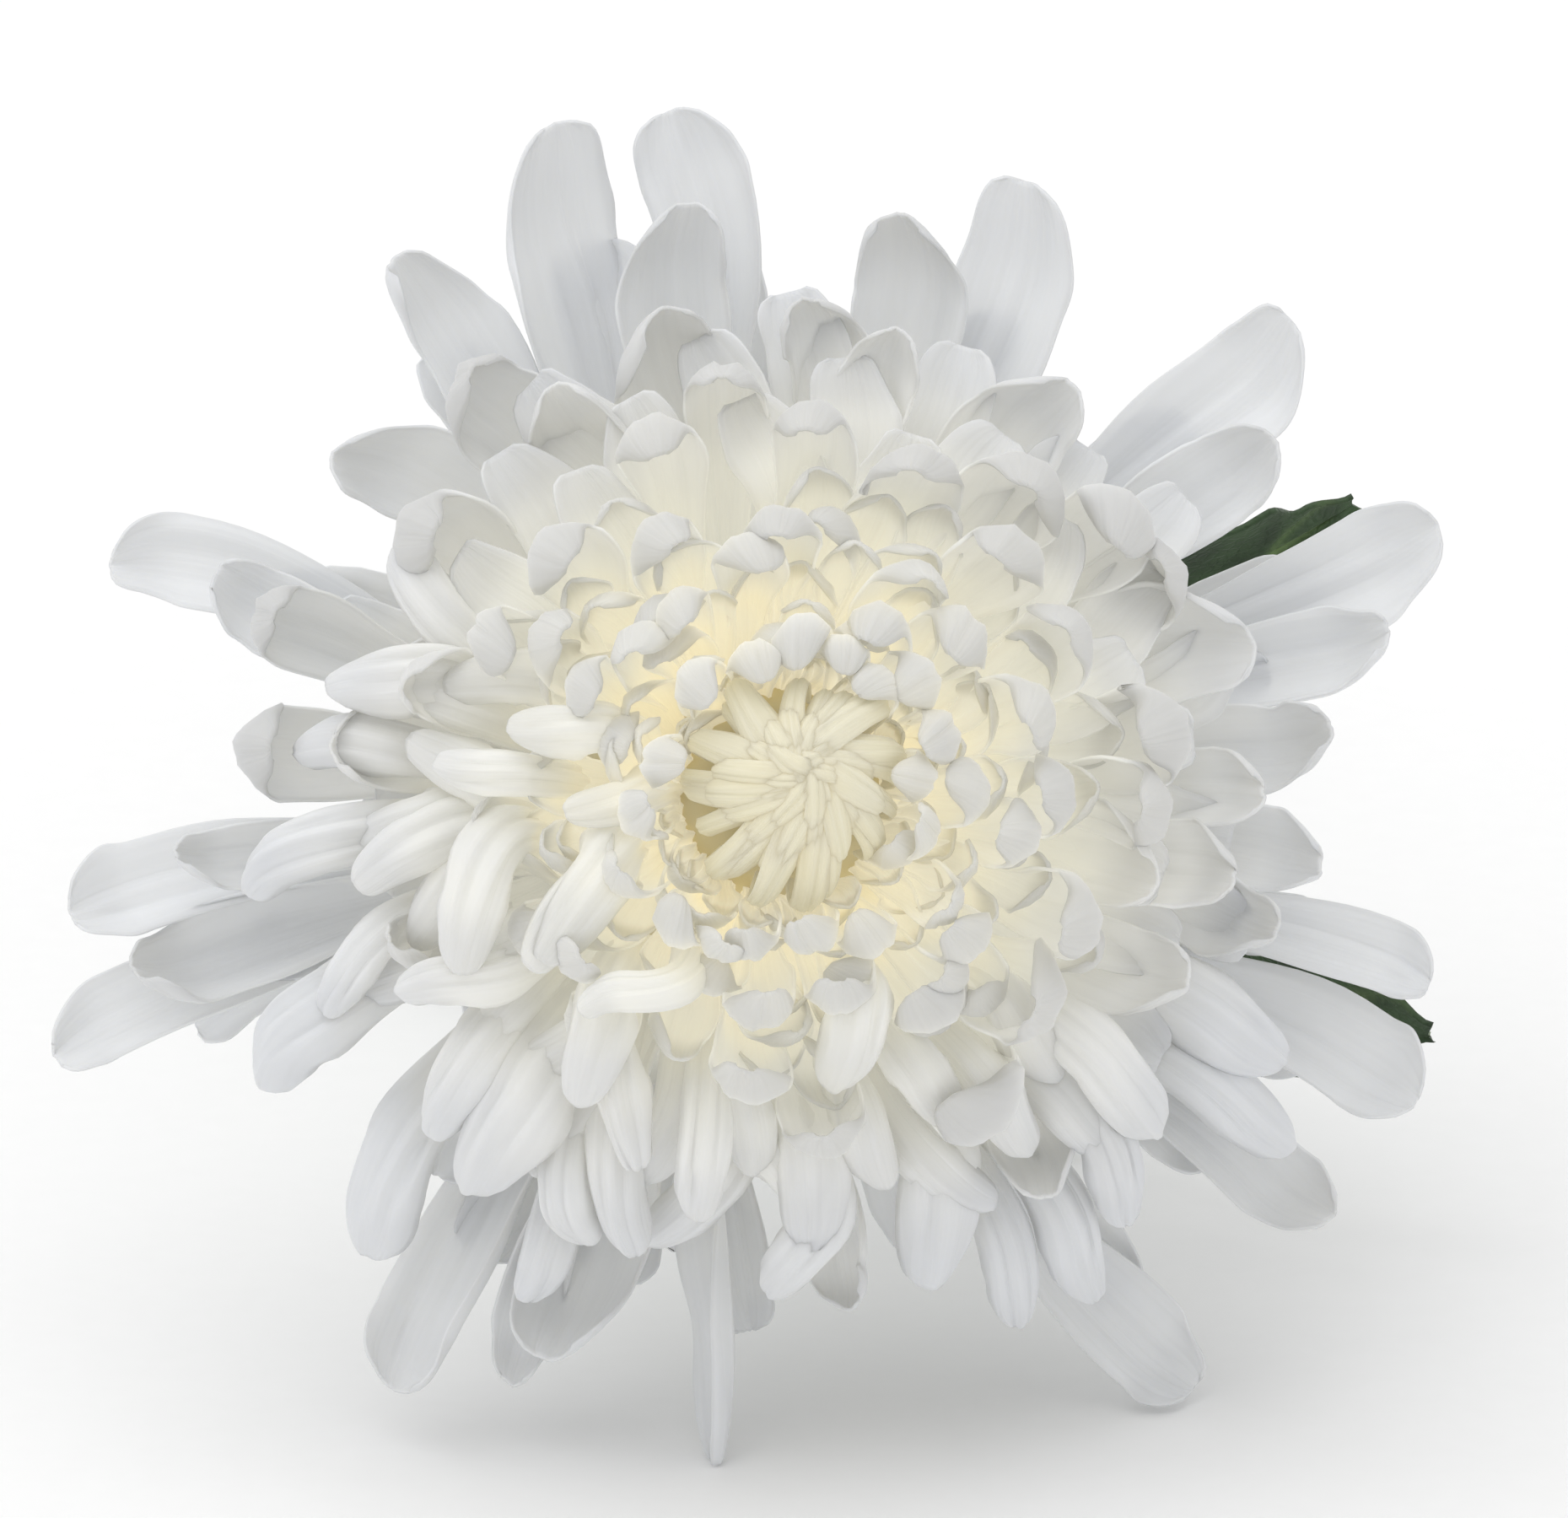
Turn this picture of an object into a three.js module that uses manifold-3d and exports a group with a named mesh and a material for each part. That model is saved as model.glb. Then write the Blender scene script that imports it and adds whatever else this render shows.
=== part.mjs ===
import * as THREE from "three";
import Module from "manifold-3d";

// Disbud chrysanthemum laid down on a surface: one large white bloom, its involucre, a cut stem, six leaves.
// Units are millimetres, +Z is up. The bloom faces -Y and a little up, the stem runs back along +Y.

const wasm = await Module();
wasm.setup();

// Driving dimensions
const FACE_ELEVATION = 20; // degrees the bloom's face looks above the horizon
const CENTRE_HEIGHT = 62; // height of the bloom's middle above the surface
const CENTRE_X = 4; // sideways place of the bloom's middle
const CENTRE_Y = -92.5; // place of the bloom's middle along the stem's direction
const DOME_TOP = 36; // how far the middle florets stand in front of the bloom's mid plane
const AXIS_LEAN_X = 0.075; // sideways drift of the bloom's axis per millimetre of depth
const AXIS_LEAN_Y = 0.015;
const FLORET_THICKNESS = 0.95;
const NECK_DEPTH = -35; // where the stem meets the involucre
const STEM_RADIUS = 3.3;
const STEM_REACH = 226; // from the bloom's middle to the cut end, along the surface
const LEAF_THICKNESS = 0.8;
const GAP = 0.35; // clearance between neighbouring solids
const SEED = 41;

const DEG = Math.PI / 180;
const SIN_E = Math.sin(FACE_ELEVATION * DEG);
const COS_E = Math.cos(FACE_ELEVATION * DEG);

// x to the right, y up in the bloom's face, w out of it towards the viewer
function toWorld(p) {
  return new THREE.Vector3(
    CENTRE_X + p.x,
    CENTRE_Y + p.y * SIN_E - p.z * COS_E,
    CENTRE_HEIGHT + p.y * COS_E + p.z * SIN_E,
  );
}

function makeRandom(seed) {
  let state = seed;
  return () => {
    state = (state * 16807) % 2147483647;
    return state / 2147483647;
  };
}
const random = makeRandom(SEED);
const spread = (amount) => (random() * 2 - 1) * amount;

// Straight lines between pairs [input, output] sorted by input
function along(table, value) {
  if (value <= table[0][0]) return table[0][1];
  for (let i = 1; i < table.length; i++) {
    const [x0, y0] = table[i - 1];
    const [x1, y1] = table[i];
    if (value <= x1) return y0 + ((y1 - y0) * (value - x0)) / (x1 - x0);
  }
  return table[table.length - 1][1];
}

// A closed solid from rings of points that run counter-clockwise about the way they follow.
// splits gives, for each side of the ring, which diagonal cuts its quads, alike on both faces of a blade.
function loft(rings, splits, capFans) {
  const n = rings[0].length;
  const vertProperties = new Float32Array(rings.flat().flatMap((p) => p.toArray()));
  const faces = [];
  for (let i = 0; i + 1 < rings.length; i++) {
    for (let k = 0; k < n; k++) {
      const a = i * n + k;
      const b = i * n + ((k + 1) % n);
      const c = b + n;
      const d = a + n;
      if (splits[k]) faces.push(a, b, d, b, c, d);
      else faces.push(a, b, c, a, c, d);
    }
  }
  const last = (rings.length - 1) * n;
  for (const [p, q, r] of capFans) {
    faces.push(p, r, q, last + p, last + q, last + r);
  }
  const mesh = new wasm.Mesh({ numProp: 3, vertProperties, triVerts: new Uint32Array(faces) });
  return new wasm.Manifold(mesh);
}

// A floret's ring is left margin, inner face, right margin, outer face
const FLORET_SPLITS = [0, 1, 0, 1];
const FLORET_CAPS = [
  [1, 2, 3],
  [1, 3, 0],
];
// A leaf's ring is left top, rib top, right top, right underside, rib underside, left underside
const LEAF_SPLITS = [0, 1, 0, 0, 1, 1];
const LEAF_CAPS = [
  [1, 2, 3],
  [1, 3, 4],
  [1, 4, 5],
  [1, 5, 0],
];

// The triangles of the largest connected shell, so that pockets closed in by crossing florets are filled
function outerShell(triVerts, vertexCount) {
  const owner = Uint32Array.from({ length: vertexCount }, (_, i) => i);
  const find = (i) => {
    while (owner[i] !== i) i = owner[i] = owner[owner[i]];
    return i;
  };
  for (let i = 0; i < triVerts.length; i += 3) {
    owner[find(triVerts[i])] = find(triVerts[i + 1]);
    owner[find(triVerts[i + 1])] = find(triVerts[i + 2]);
  }
  const shells = new Map();
  for (let i = 0; i < triVerts.length; i += 3) {
    const shell = find(triVerts[i]);
    if (!shells.has(shell)) shells.set(shell, []);
    shells.get(shell).push(triVerts[i], triVerts[i + 1], triVerts[i + 2]);
  }
  return [...shells.values()].sort((a, b) => b.length - a.length)[0];
}

function meshFrom(name, solid, material) {
  const raw = solid.getMesh();
  const positions = new Float32Array(raw.numVert * 3);
  for (let i = 0; i < raw.numVert; i++) {
    for (let k = 0; k < 3; k++) positions[3 * i + k] = raw.vertProperties[raw.numProp * i + k];
  }
  const geometry = new THREE.BufferGeometry();
  geometry.setAttribute("position", new THREE.BufferAttribute(positions, 3));
  geometry.setIndex(new THREE.BufferAttribute(new Uint32Array(outerShell(raw.triVerts, raw.numVert)), 1));
  geometry.computeVertexNormals();
  const mesh = new THREE.Mesh(geometry, material);
  mesh.name = name;
  return mesh;
}

function solidFrom(geometry) {
  const points = [];
  const faces = [];
  const seen = new Map();
  const position = geometry.getAttribute("position");
  const count = geometry.index ? geometry.index.count : position.count;
  for (let i = 0; i < count; i++) {
    const at = geometry.index ? geometry.index.getX(i) : i;
    const p = new THREE.Vector3().fromBufferAttribute(position, at);
    const key = p.toArray().map((v) => Math.round(v * 1e4)).join();
    if (!seen.has(key)) {
      seen.set(key, points.length / 3);
      points.push(p.x, p.y, p.z);
    }
    faces.push(seen.get(key));
  }
  const kept = [];
  for (let i = 0; i < faces.length; i += 3) {
    const [a, b, c] = faces.slice(i, i + 3);
    if (a !== b && b !== c && a !== c) kept.push(a, b, c);
  }
  const vertProperties = new Float32Array(points);
  return new wasm.Manifold(new wasm.Mesh({ numProp: 3, vertProperties, triVerts: new Uint32Array(kept) }));
}

// The bloom's axis leans from the middle of its face to the neck
function axisPoint(w) {
  return new THREE.Vector3(-AXIS_LEAN_X * (DOME_TOP - w), -AXIS_LEAN_Y * (DOME_TOP - w), w);
}

// A turned body round the bloom's axis, from pairs [radius, depth] that start and end on the axis
function turnedBody(profile, segments) {
  const lathe = new THREE.LatheGeometry(
    profile.map(([radius, w]) => new THREE.Vector2(radius, w)),
    segments,
  );
  const position = lathe.getAttribute("position");
  for (let i = 0; i < position.count; i++) {
    const w = position.getY(i);
    const centre = axisPoint(w);
    const p = toWorld(new THREE.Vector3(centre.x + position.getX(i), centre.y - position.getZ(i), w));
    position.setXYZ(i, p.x, p.y, p.z);
  }
  return solidFrom(lathe);
}

// Florets: how deep a floret's tip lies, and where its root sits in the core, by the tip's reach
const TIP_DEPTH = [
  [4, 36], [15, 33], [22, 29], [30, 24], [38, 17], [45, 10], [52, 3], [58, -3], [64, -9], [75, -14],
];
const ROOT_RADIUS = [
  [4, 3], [15, 7], [22, 10], [30, 14], [38, 18], [45, 20], [58, 20], [75, 17],
];
const ROOT_DEPTH = [
  [4, 18], [15, 16], [22, 13], [30, 8], [38, 1], [45, -5], [52, -10], [58, -13], [75, -18],
];
const CORE_PROFILE = [
  [0, -26], [10, -26], [14, -22.5], [19, -17], [22.5, -10], [23.5, -3], [22.5, 4], [18, 12], [12, 18],
  [9, 25], [6, 29.5], [0, 31.5],
];
const CORE_SEGMENTS = 15;

// Habits: leaving and arriving angle (degrees out of the bloom's plane), trough depth over half width,
// hood at the tip
const HABITS = {
  open: { leave: 14, arrive: 6, trough: 0.24, hood: 0.1 },
  boat: { leave: 26, arrive: 14, trough: 0.55, hood: 0.35 },
  hood: { leave: 38, arrive: 20, trough: 0.5, hood: 0.95 },
  arch: { leave: 54, arrive: -28, trough: -0.4, hood: 0 },
  droop: { leave: 30, arrive: -34, trough: -0.3, hood: 0 },
  flat: { leave: 14, arrive: -16, trough: 0.2, hood: 0 },
  heart: { leave: 66, arrive: -18, trough: 0.3, hood: 0 },
};

// Florets seen in the bloom: azimuth (degrees, counter-clockwise from the right), reach, width, habit,
// sideways bow of the blade, roll about its own length (degrees), depth added to the tip
const SEEN_FLORETS = [
  [98, 65, 10, "open", 1, -8, 0], [111, 67, 10, "open", -3, 25, 0], [104, 56, 9, "boat", -1, 0, 0],
  [108, 46, 10, "boat", 0, 0, 0], [99, 40, 7, "hood", 0, 0, 0], [118, 44, 9.5, "boat", 1, -15, 0],
  [111, 37, 7, "hood", 0, 0, 0], [126, 62, 8.5, "boat", -2, 30, 0], [130, 49, 9, "hood", 2, 10, 0],
  [142, 54, 8, "boat", 2, 10, 0], [146, 44, 9, "hood", 1, 15, 0], [160, 68, 8, "open", 3, 20, 0],
  [161, 58, 7, "boat", -2, -10, -2], [162, 53, 7, "hood", 0, 0, 0], [163, 45, 7, "arch", 2, 10, 2],
  [162, 37, 6.5, "boat", 0, 0, 1], [153, 33, 6, "hood", 1, 0, 0], [176, 52, 8, "hood", 0, 0, 0],
  [175, 43, 7.5, "boat", 0, 0, 1], [177, 33, 5, "arch", 0, 0, 2], [188, 69, 8, "open", 2, 15, 0],
  [187, 58, 5, "boat", 0, 0, 1], [186, 52, 7, "arch", 1, 10, 1], [188, 42, 6.5, "arch", 1, 10, 2],
  [199, 38, 7, "arch", 6, 15, 5], [203, 29, 7, "arch", 3, 20, 4], [199, 74, 7, "open", 2, 20, 0],
  [196, 64, 8, "boat", 1, 15, 1], [202, 49, 5, "arch", 3, 20, 2], [206, 57, 7, "arch", 2, 20, 1],
  [209, 41, 5.5, "arch", -3, 10, 3], [203, 40, 6, "boat", 0, 0, 0], [228, 48, 7.5, "arch", 2, 10, 3],
  [220, 47, 7, "arch", 2, 10, 2], [227, 58, 6.5, "droop", 5, 10, 0], [235, 68, 8.5, "boat", 2, 20, 0],
  [244, 62, 5, "boat", 2, 10, 0], [246, 58, 9.5, "boat", 3, 20, 1], [240, 48, 5.5, "arch", 3, 10, 2],
  [245, 47, 6, "arch", 2, 5, 3], [242, 54, 5, "droop", 2, 5, 0], [239, 40, 5.5, "arch", 5, 10, 5],
  [257, 41, 6, "arch", 1, 0, 4], [264, 64, 5, "droop", -2, 55, 0], [271, 48, 6, "arch", -5, 0, 2],
  [273, 43, 7, "droop", 0, 0, 2], [277, 49, 6, "boat", -1, 25, 0], [291, 49, 8, "droop", -3, -10, 1],
  [295, 55, 5.5, "droop", -3, -10, 0], [302, 68, 7.5, "boat", -3, -15, -14.5],
  [302, 56, 5.5, "droop", -4, -10, 1],
  [311, 52, 6.5, "arch", -3, -10, 2], [305, 45, 7.5, "boat", -1, 0, 1], [302, 37, 9.5, "hood", 0, 0, 2],
  [320, 32, 9, "hood", 0, 0, 1], [302, 26, 7, "hood", 0, 0, 1], [310, 24, 6, "hood", 0, 0, 0],
  [286, 29, 7, "arch", -2, 0, 2], [276, 34, 7, "hood", 0, 0, 2], [261, 29, 7, "hood", 0, 0, 2],
  [263, 22, 6, "hood", 0, 0, 1], [281, 21, 6, "hood", 0, 0, 1], [229, 28, 4.5, "arch", -5, 10, 5],
  [216, 27, 6.5, "hood", 0, 0, 1], [230, 36, 7, "arch", 3, 10, 4], [320, 65, 7, "boat", -2, -15, 0],
  [325, 58, 7, "droop", -2, -10, 0], [318, 47, 7.5, "arch", -2, 0, 2], [335, 66, 8.5, "open", -2, -15, 0],
  [332, 53, 7.5, "droop", -2, -10, 1], [343, 63, 6.5, "open", -1, -20, -1], [344, 47, 7, "boat", -3, 0, 2],
  [331, 41, 8, "boat", 0, 0, 2], [336, 31, 7, "hood", 0, 0, 2], [352, 50, 6.5, "boat", -1, -10, 1],
  [349, 42, 7.5, "boat", 0, 0, 2], [346, 35, 8.5, "boat", 0, 0, 2], [2, 50, 6.5, "boat", -2, -10, 1],
  [0, 44, 6.5, "boat", -1, 0, 1], [357, 35, 7.5, "hood", 0, 0, 2], [9, 37, 9, "hood", 0, 0, 2],
  [14, 58, 7, "boat", -1, -10, -1], [21, 66, 9, "open", 1, -10, 0], [22, 45, 10, "boat", 0, 0, 2],
  [30, 42, 8, "hood", 0, 0, 0], [42, 65, 9.5, "open", -1, -15, 0], [35, 56, 8, "boat", 0, -10, 0],
  [41, 42, 8.5, "hood", 0, 0, 2], [58, 46, 9, "boat", 0, 0, 0], [67, 62, 10, "open", 1, -10, 0],
  [76, 55, 9.5, "boat", 1, 0, 0], [85, 46, 7, "boat", 1, 0, 0], [78, 44, 6.5, "boat", 0, 0, 0],
  [69, 34, 9.5, "hood", 0, 0, 1], [54, 38, 9.5, "hood", 0, 0, 0], [86, 36, 7, "hood", 0, 0, 1],
  [48, 32, 8, "hood", 0, 0, 1], [92, 26, 6.5, "hood", 0, 0, 0], [118, 28, 6.5, "hood", 0, 0, 0],
  [101, 24, 6, "hood", 0, 0, 0], [61, 24, 6.5, "hood", 0, 0, 0], [136, 33, 7.5, "hood", 0, 0, 0],
  [148, 28, 6.5, "hood", 0, 0, 0], [135, 21, 6, "hood", 0, 0, 0], [123, 21, 5.5, "hood", 0, 0, 0],
  [164, 27, 6, "arch", 1, 0, 0], [153, 23, 5.5, "hood", 0, 0, 0], [182, 21, 5, "arch", 1, 0, 0],
  [191, 16, 4.5, "hood", 0, 0, 0], [209, 19, 5, "hood", 0, 0, 0], [205, 30, 6, "arch", 2, 0, 3],
  [232, 18, 5, "hood", 0, 0, 0], [245, 17, 5, "hood", 0, 0, 0], [256, 16, 4.5, "hood", 0, 0, 0],
  [280, 15, 4.5, "hood", 0, 0, 0], [299, 17, 5, "hood", 0, 0, 0], [318, 23, 6, "hood", 0, 0, 1],
  [322, 19, 5, "hood", 0, 0, 0], [348, 23, 6, "hood", 0, 0, 1], [0, 26, 7, "hood", 0, 0, 1],
  [358, 18, 5.5, "hood", 0, 0, 0], [20, 25, 7, "hood", 0, 0, 1], [44, 23, 6.5, "hood", 0, 0, 0],
  [30, 31, 8, "hood", 0, 0, 1], [40, 17, 5.5, "hood", 0, 0, 0], [22, 16, 5, "hood", 0, 0, 0],
  [106, 14, 4.5, "hood", 0, 0, 0], [87, 16, 5, "hood", 0, 0, 0], [71, 15, 4.5, "hood", 0, 0, 0],
  [61, 19, 5.5, "hood", 0, 0, 0], [50, 14, 4.5, "hood", 0, 0, 0], [132, 15, 4.5, "hood", 0, 0, 0],
  [168, 14, 4.5, "hood", 0, 0, 0], [340, 14, 4.5, "hood", 0, 0, 0], [4, 13, 4, "hood", 0, 0, 0],
];

const STATIONS = [
  { at: 0, width: 0.5, hood: 0 },
  { at: 0.42, width: 0.86, hood: 0 },
  { at: 0.78, width: 1, hood: 0 },
  { at: 0.93, width: 0.8, hood: 0.25 },
  { at: 1, width: 0.34, hood: 1 },
];
const SHORT_STATIONS = STATIONS.filter((station) => station.at !== 0.42);

function floret(azimuth, reach, width, habit, bow, roll, extraDepth, stations, rootPlace) {
  const shape = HABITS[habit];
  const out = new THREE.Vector3(Math.cos(azimuth * DEG), Math.sin(azimuth * DEG), 0);
  const front = new THREE.Vector3(0, 0, 1);
  const side = new THREE.Vector3().crossVectors(out, front);
  const [rootRadius, rootDepth] = rootPlace ?? [along(ROOT_RADIUS, reach), along(ROOT_DEPTH, reach)];
  const root = axisPoint(rootDepth).addScaledVector(out, rootRadius);
  const lean = AXIS_LEAN_X * reach * Math.cos(azimuth * DEG);
  const tip = out.clone().multiplyScalar(reach).setZ(along(TIP_DEPTH, reach) - lean + extraDepth);
  const length = root.distanceTo(tip);
  const heading = (angle) => out.clone().multiplyScalar(Math.cos(angle * DEG)).setZ(Math.sin(angle * DEG));
  const path = new THREE.CubicBezierCurve3(
    root,
    root.clone().addScaledVector(heading(shape.leave), length * 0.42),
    tip.clone().addScaledVector(heading(shape.arrive), -length * 0.34).addScaledVector(side, bow),
    tip,
  );
  const half = width / 2;
  const rings = stations.map((station) => {
    const forward = path.getTangent(station.at);
    const across = side.clone().addScaledVector(forward, -side.dot(forward)).normalize();
    across.applyAxisAngle(forward, roll * DEG * station.at);
    const face = new THREE.Vector3().crossVectors(across, forward);
    const middle = path.getPoint(station.at);
    middle.addScaledVector(face, shape.hood * station.hood * half * 0.8);
    middle.addScaledVector(forward, -shape.hood * station.hood * half * 0.5);
    const h = half * station.width;
    const margin = middle.clone().addScaledVector(face, shape.trough * h);
    return [
      margin.clone().addScaledVector(across, -h),
      middle.clone().addScaledVector(face, FLORET_THICKNESS / 2),
      margin.clone().addScaledVector(across, h),
      middle.clone().addScaledVector(face, -FLORET_THICKNESS / 2),
    ].map(toWorld);
  });
  return loft(rings, FLORET_SPLITS, FLORET_CAPS);
}

// Florets of the bloom's back: one behind each long floret, and two short rings at the involucre
const BACK_REACH = 57;
const BACK_ROOT = [13, -19];
const UNDER_RINGS = [
  { count: 12, reach: 43, root: [9.5, -22.2], depth: -31 },
  { count: 9, reach: 36, root: [7, -24], depth: -42 },
];
// The heart's small narrow florets, which lie outwards over one another in a swirl
const HEART_RINGS = [
  { count: 12, reach: 11.8, root: [4.5, 28.5], depth: 33.2, width: 3, turn: 6 },
  { count: 8, reach: 7.6, root: [2.5, 30.5], depth: 35.6, width: 2.8, turn: 20 },
  { count: 4, reach: 3.8, root: [1, 31], depth: 37, width: 2.4, turn: 50 },
];
const SHORT_REACH = 30;

function bloomSolid() {
  let solid = turnedBody(CORE_PROFILE, CORE_SEGMENTS);
  for (const [azimuth, reach, width, habit, bow, roll, extra] of SEEN_FLORETS) {
    const stations = reach < SHORT_REACH ? SHORT_STATIONS : STATIONS;
    solid = solid.add(floret(azimuth, reach, width, habit, bow, roll, extra, stations));
  }
  for (const [azimuth, reach, width, , bow, roll] of SEEN_FLORETS.filter((row) => row[1] > BACK_REACH)) {
    const turned = azimuth + spread(1.5);
    const shorter = reach * (0.82 + spread(0.04));
    const narrower = width * 0.8;
    solid = solid.add(floret(turned, shorter, narrower, "droop", bow, roll, -17, SHORT_STATIONS, BACK_ROOT));
  }
  for (const { count, reach, root, depth } of UNDER_RINGS) {
    for (let i = 0; i < count; i++) {
      const azimuth = (360 * (i + 0.5)) / count + spread(4);
      const longer = reach + spread(3);
      solid = solid.add(floret(azimuth, longer, 7.5, "flat", 0, 0, depth, SHORT_STATIONS, root));
    }
  }
  for (const { count, reach, root, depth, width, turn } of HEART_RINGS) {
    const extra = depth - along(TIP_DEPTH, reach);
    for (let i = 0; i < count; i++) {
      const azimuth = turn + (360 * i) / count + spread(6);
      const longer = reach * (1 + spread(0.08));
      solid = solid.add(floret(azimuth, longer, width, "heart", 1.2, 0, extra, SHORT_STATIONS, root));
    }
  }
  return solid;
}

// Involucre: a cup under the core, with three rows of overlapping bracts
const CUP_PROFILE = [
  [0, NECK_DEPTH], [3.6, NECK_DEPTH], [6.5, -33], [10.5, -30.5], [12.5, -28], [12.2, -26 - GAP],
  [0, -26 - GAP],
];
const BRACT_ROWS = [
  { count: 9, root: 6.5, tip: 14.5, rootDepth: -31.5, tipDepth: -27.5, width: 6 },
  { count: 8, root: 4.5, tip: 11.5, rootDepth: -33, tipDepth: -31.2, width: 5 },
];

function bract(azimuth, row) {
  const out = new THREE.Vector3(Math.cos(azimuth), Math.sin(azimuth), 0);
  const side = new THREE.Vector3(Math.sin(azimuth), -Math.cos(azimuth), 0);
  const rings = [0, 0.6, 1].map((t) => {
    const w = row.rootDepth + (row.tipDepth - row.rootDepth) * t;
    const middle = axisPoint(w).addScaledVector(out, row.root + (row.tip - row.root) * t);
    const h = (row.width / 2) * [0.8, 1, 0.25][Math.round(t * 2)];
    const margin = middle.clone();
    margin.z += 0.3 * h;
    return [
      margin.clone().addScaledVector(side, -h),
      middle.clone().setZ(w + 0.5),
      margin.clone().addScaledVector(side, h),
      middle.clone().setZ(w - 0.5),
    ].map(toWorld);
  });
  return loft(rings, FLORET_SPLITS, FLORET_CAPS);
}

function involucreSolid() {
  let solid = turnedBody(CUP_PROFILE, 16);
  BRACT_ROWS.forEach((row, level) => {
    for (let i = 0; i < row.count; i++) {
      solid = solid.add(bract(((i + level * 0.5) / row.count) * 2 * Math.PI, row));
    }
  });
  return solid;
}

// Stem: a ribbed stalk that leaves the involucre along the bloom's axis and sinks to the surface
const neck = toWorld(axisPoint(NECK_DEPTH - GAP));
const stemPath = new THREE.CatmullRomCurve3([
  neck,
  toWorld(axisPoint(NECK_DEPTH - 30)),
  new THREE.Vector3(neck.x - 6, CENTRE_Y + 112, 29),
  new THREE.Vector3(neck.x - 7, CENTRE_Y + 170, 13.5),
  new THREE.Vector3(neck.x - 4, CENTRE_Y + STEM_REACH, STEM_RADIUS - 1.4),
]);
const STEM_RIBS = 6;
const STEM_STEPS = 18;
const CUT_SLANT = 32; // degrees the cut leans from square

function stemSolid() {
  const outline = new THREE.Shape();
  for (let i = 0; i < STEM_RIBS * 2; i++) {
    const angle = (i * Math.PI) / STEM_RIBS;
    const radius = STEM_RADIUS * (i % 2 ? 0.9 : 1);
    const [x, y] = [radius * Math.cos(angle), radius * Math.sin(angle)];
    if (i) outline.lineTo(x, y);
    else outline.moveTo(x, y);
  }
  const stalk = new THREE.ExtrudeGeometry(outline, {
    steps: STEM_STEPS,
    extrudePath: stemPath,
    bevelEnabled: false,
  });
  const knife = new THREE.BoxGeometry(40, 20, 60);
  knife.translate(0, 10, 0);
  knife.rotateX(CUT_SLANT * DEG);
  const end = stemPath.getPoint(1);
  knife.translate(end.x, end.y - STEM_RADIUS * 1.4, end.z);
  return solidFrom(stalk).subtract(solidFrom(knife));
}

// Leaves: pinnately lobed blades on short stalks. Each outline point is the place along the rib, the half
// width there and how far the margin reaches forward of it
const LEAF_OUTLINE = [
  [0, 0.035, 0], [0.12, 0.035, 0], [0.2, 0.05, 0], [0.26, 0.13, 0], [0.3, 0.2, 0.04], [0.36, 0.1, 0],
  [0.42, 0.24, 0.02], [0.47, 0.31, 0.06], [0.55, 0.14, 0], [0.62, 0.26, 0.02], [0.68, 0.3, 0.06],
  [0.76, 0.15, 0], [0.82, 0.2, 0.02], [0.88, 0.17, 0.05], [0.94, 0.09, 0.01], [1, 0.02, 0.01],
];
// Place of the leaf's foot along the stem, its tip in the bloom's face frame, width over length, lift and
// sideways bow of the rib, roll of the blade about the rib (degrees)
const LEAVES = {
  leaf_1: { foot: 0.14, tip: [54, 27.5, -50], width: 0.9, lift: 3, bow: 4, roll: 30 },
  leaf_2: { foot: 0.26, tip: [61.5, -24, -50], width: 0.9, lift: 2, bow: 6, roll: 25 },
  leaf_3: { foot: 0.37, tip: [25, -36, -79], width: 0.75, lift: 4, bow: 2, roll: 10 },
  leaf_4: { foot: 0.36, tip: [-34, 25, -136], width: 1, lift: 8, bow: 3, roll: 0 },
  leaf_5: { foot: 0.47, tip: [-42, -5, -160], width: 1, lift: 8, bow: -3, roll: 0 },
  leaf_6: { foot: 0.54, tip: [24, 33, -190], width: 1, lift: 8, bow: 3, roll: 0 },
};

function leafSolid({ foot, tip, width, lift, bow, roll }) {
  const on = stemPath.getPointAt(foot);
  const end = toWorld(new THREE.Vector3(...tip));
  const outward = end.clone().sub(on);
  const stemWay = stemPath.getTangentAt(foot);
  const away = outward.clone().addScaledVector(stemWay, -outward.dot(stemWay)).normalize();
  const start = on.clone().addScaledVector(away, STEM_RADIUS + GAP);
  const length = start.distanceTo(end);
  const facing = stemWay.clone().negate().addScaledVector(away, -0.25).normalize();
  const sideways = new THREE.Vector3().crossVectors(end.clone().sub(start), facing).normalize();
  const middle = start.clone().lerp(end, 0.6).addScaledVector(facing, lift).addScaledVector(sideways, bow);
  const leaving = start.clone().addScaledVector(away, length * 0.2);
  const rib = new THREE.CubicBezierCurve3(start, leaving, middle, end);
  const half = LEAF_THICKNESS / 2;
  const rings = LEAF_OUTLINE.map(([at, halfWidth, forwardOf]) => {
    const forward = rib.getTangent(at);
    const across = new THREE.Vector3().crossVectors(forward, facing).normalize();
    across.applyAxisAngle(forward, roll * DEG * at);
    const face = new THREE.Vector3().crossVectors(across, forward);
    const stalk = at < 0.2 ? 2.2 : 1;
    const h = halfWidth * width * length;
    const middleOf = rib.getPoint(at);
    const margin = middleOf.clone().addScaledVector(forward, forwardOf * length);
    margin.addScaledVector(face, h * 0.28 + h * 0.12 * Math.sin(at * 17));
    const corner = (base, sideways, up) =>
      base.clone().addScaledVector(across, sideways).addScaledVector(face, up);
    return [
      corner(margin, -h, half),
      corner(middleOf, 0, half * stalk),
      corner(margin, h, half),
      corner(margin, h, -half),
      corner(middleOf, 0, -half * stalk),
      corner(margin, -h, -half),
    ];
  });
  return loft(rings, LEAF_SPLITS, LEAF_CAPS);
}

// What reaches the surface is flattened against it
function aboveSurface(solid) {
  const ground = new THREE.BoxGeometry(600, 800, 100);
  ground.translate(0, 0, -50);
  return solid.subtract(solidFrom(ground));
}

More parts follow.
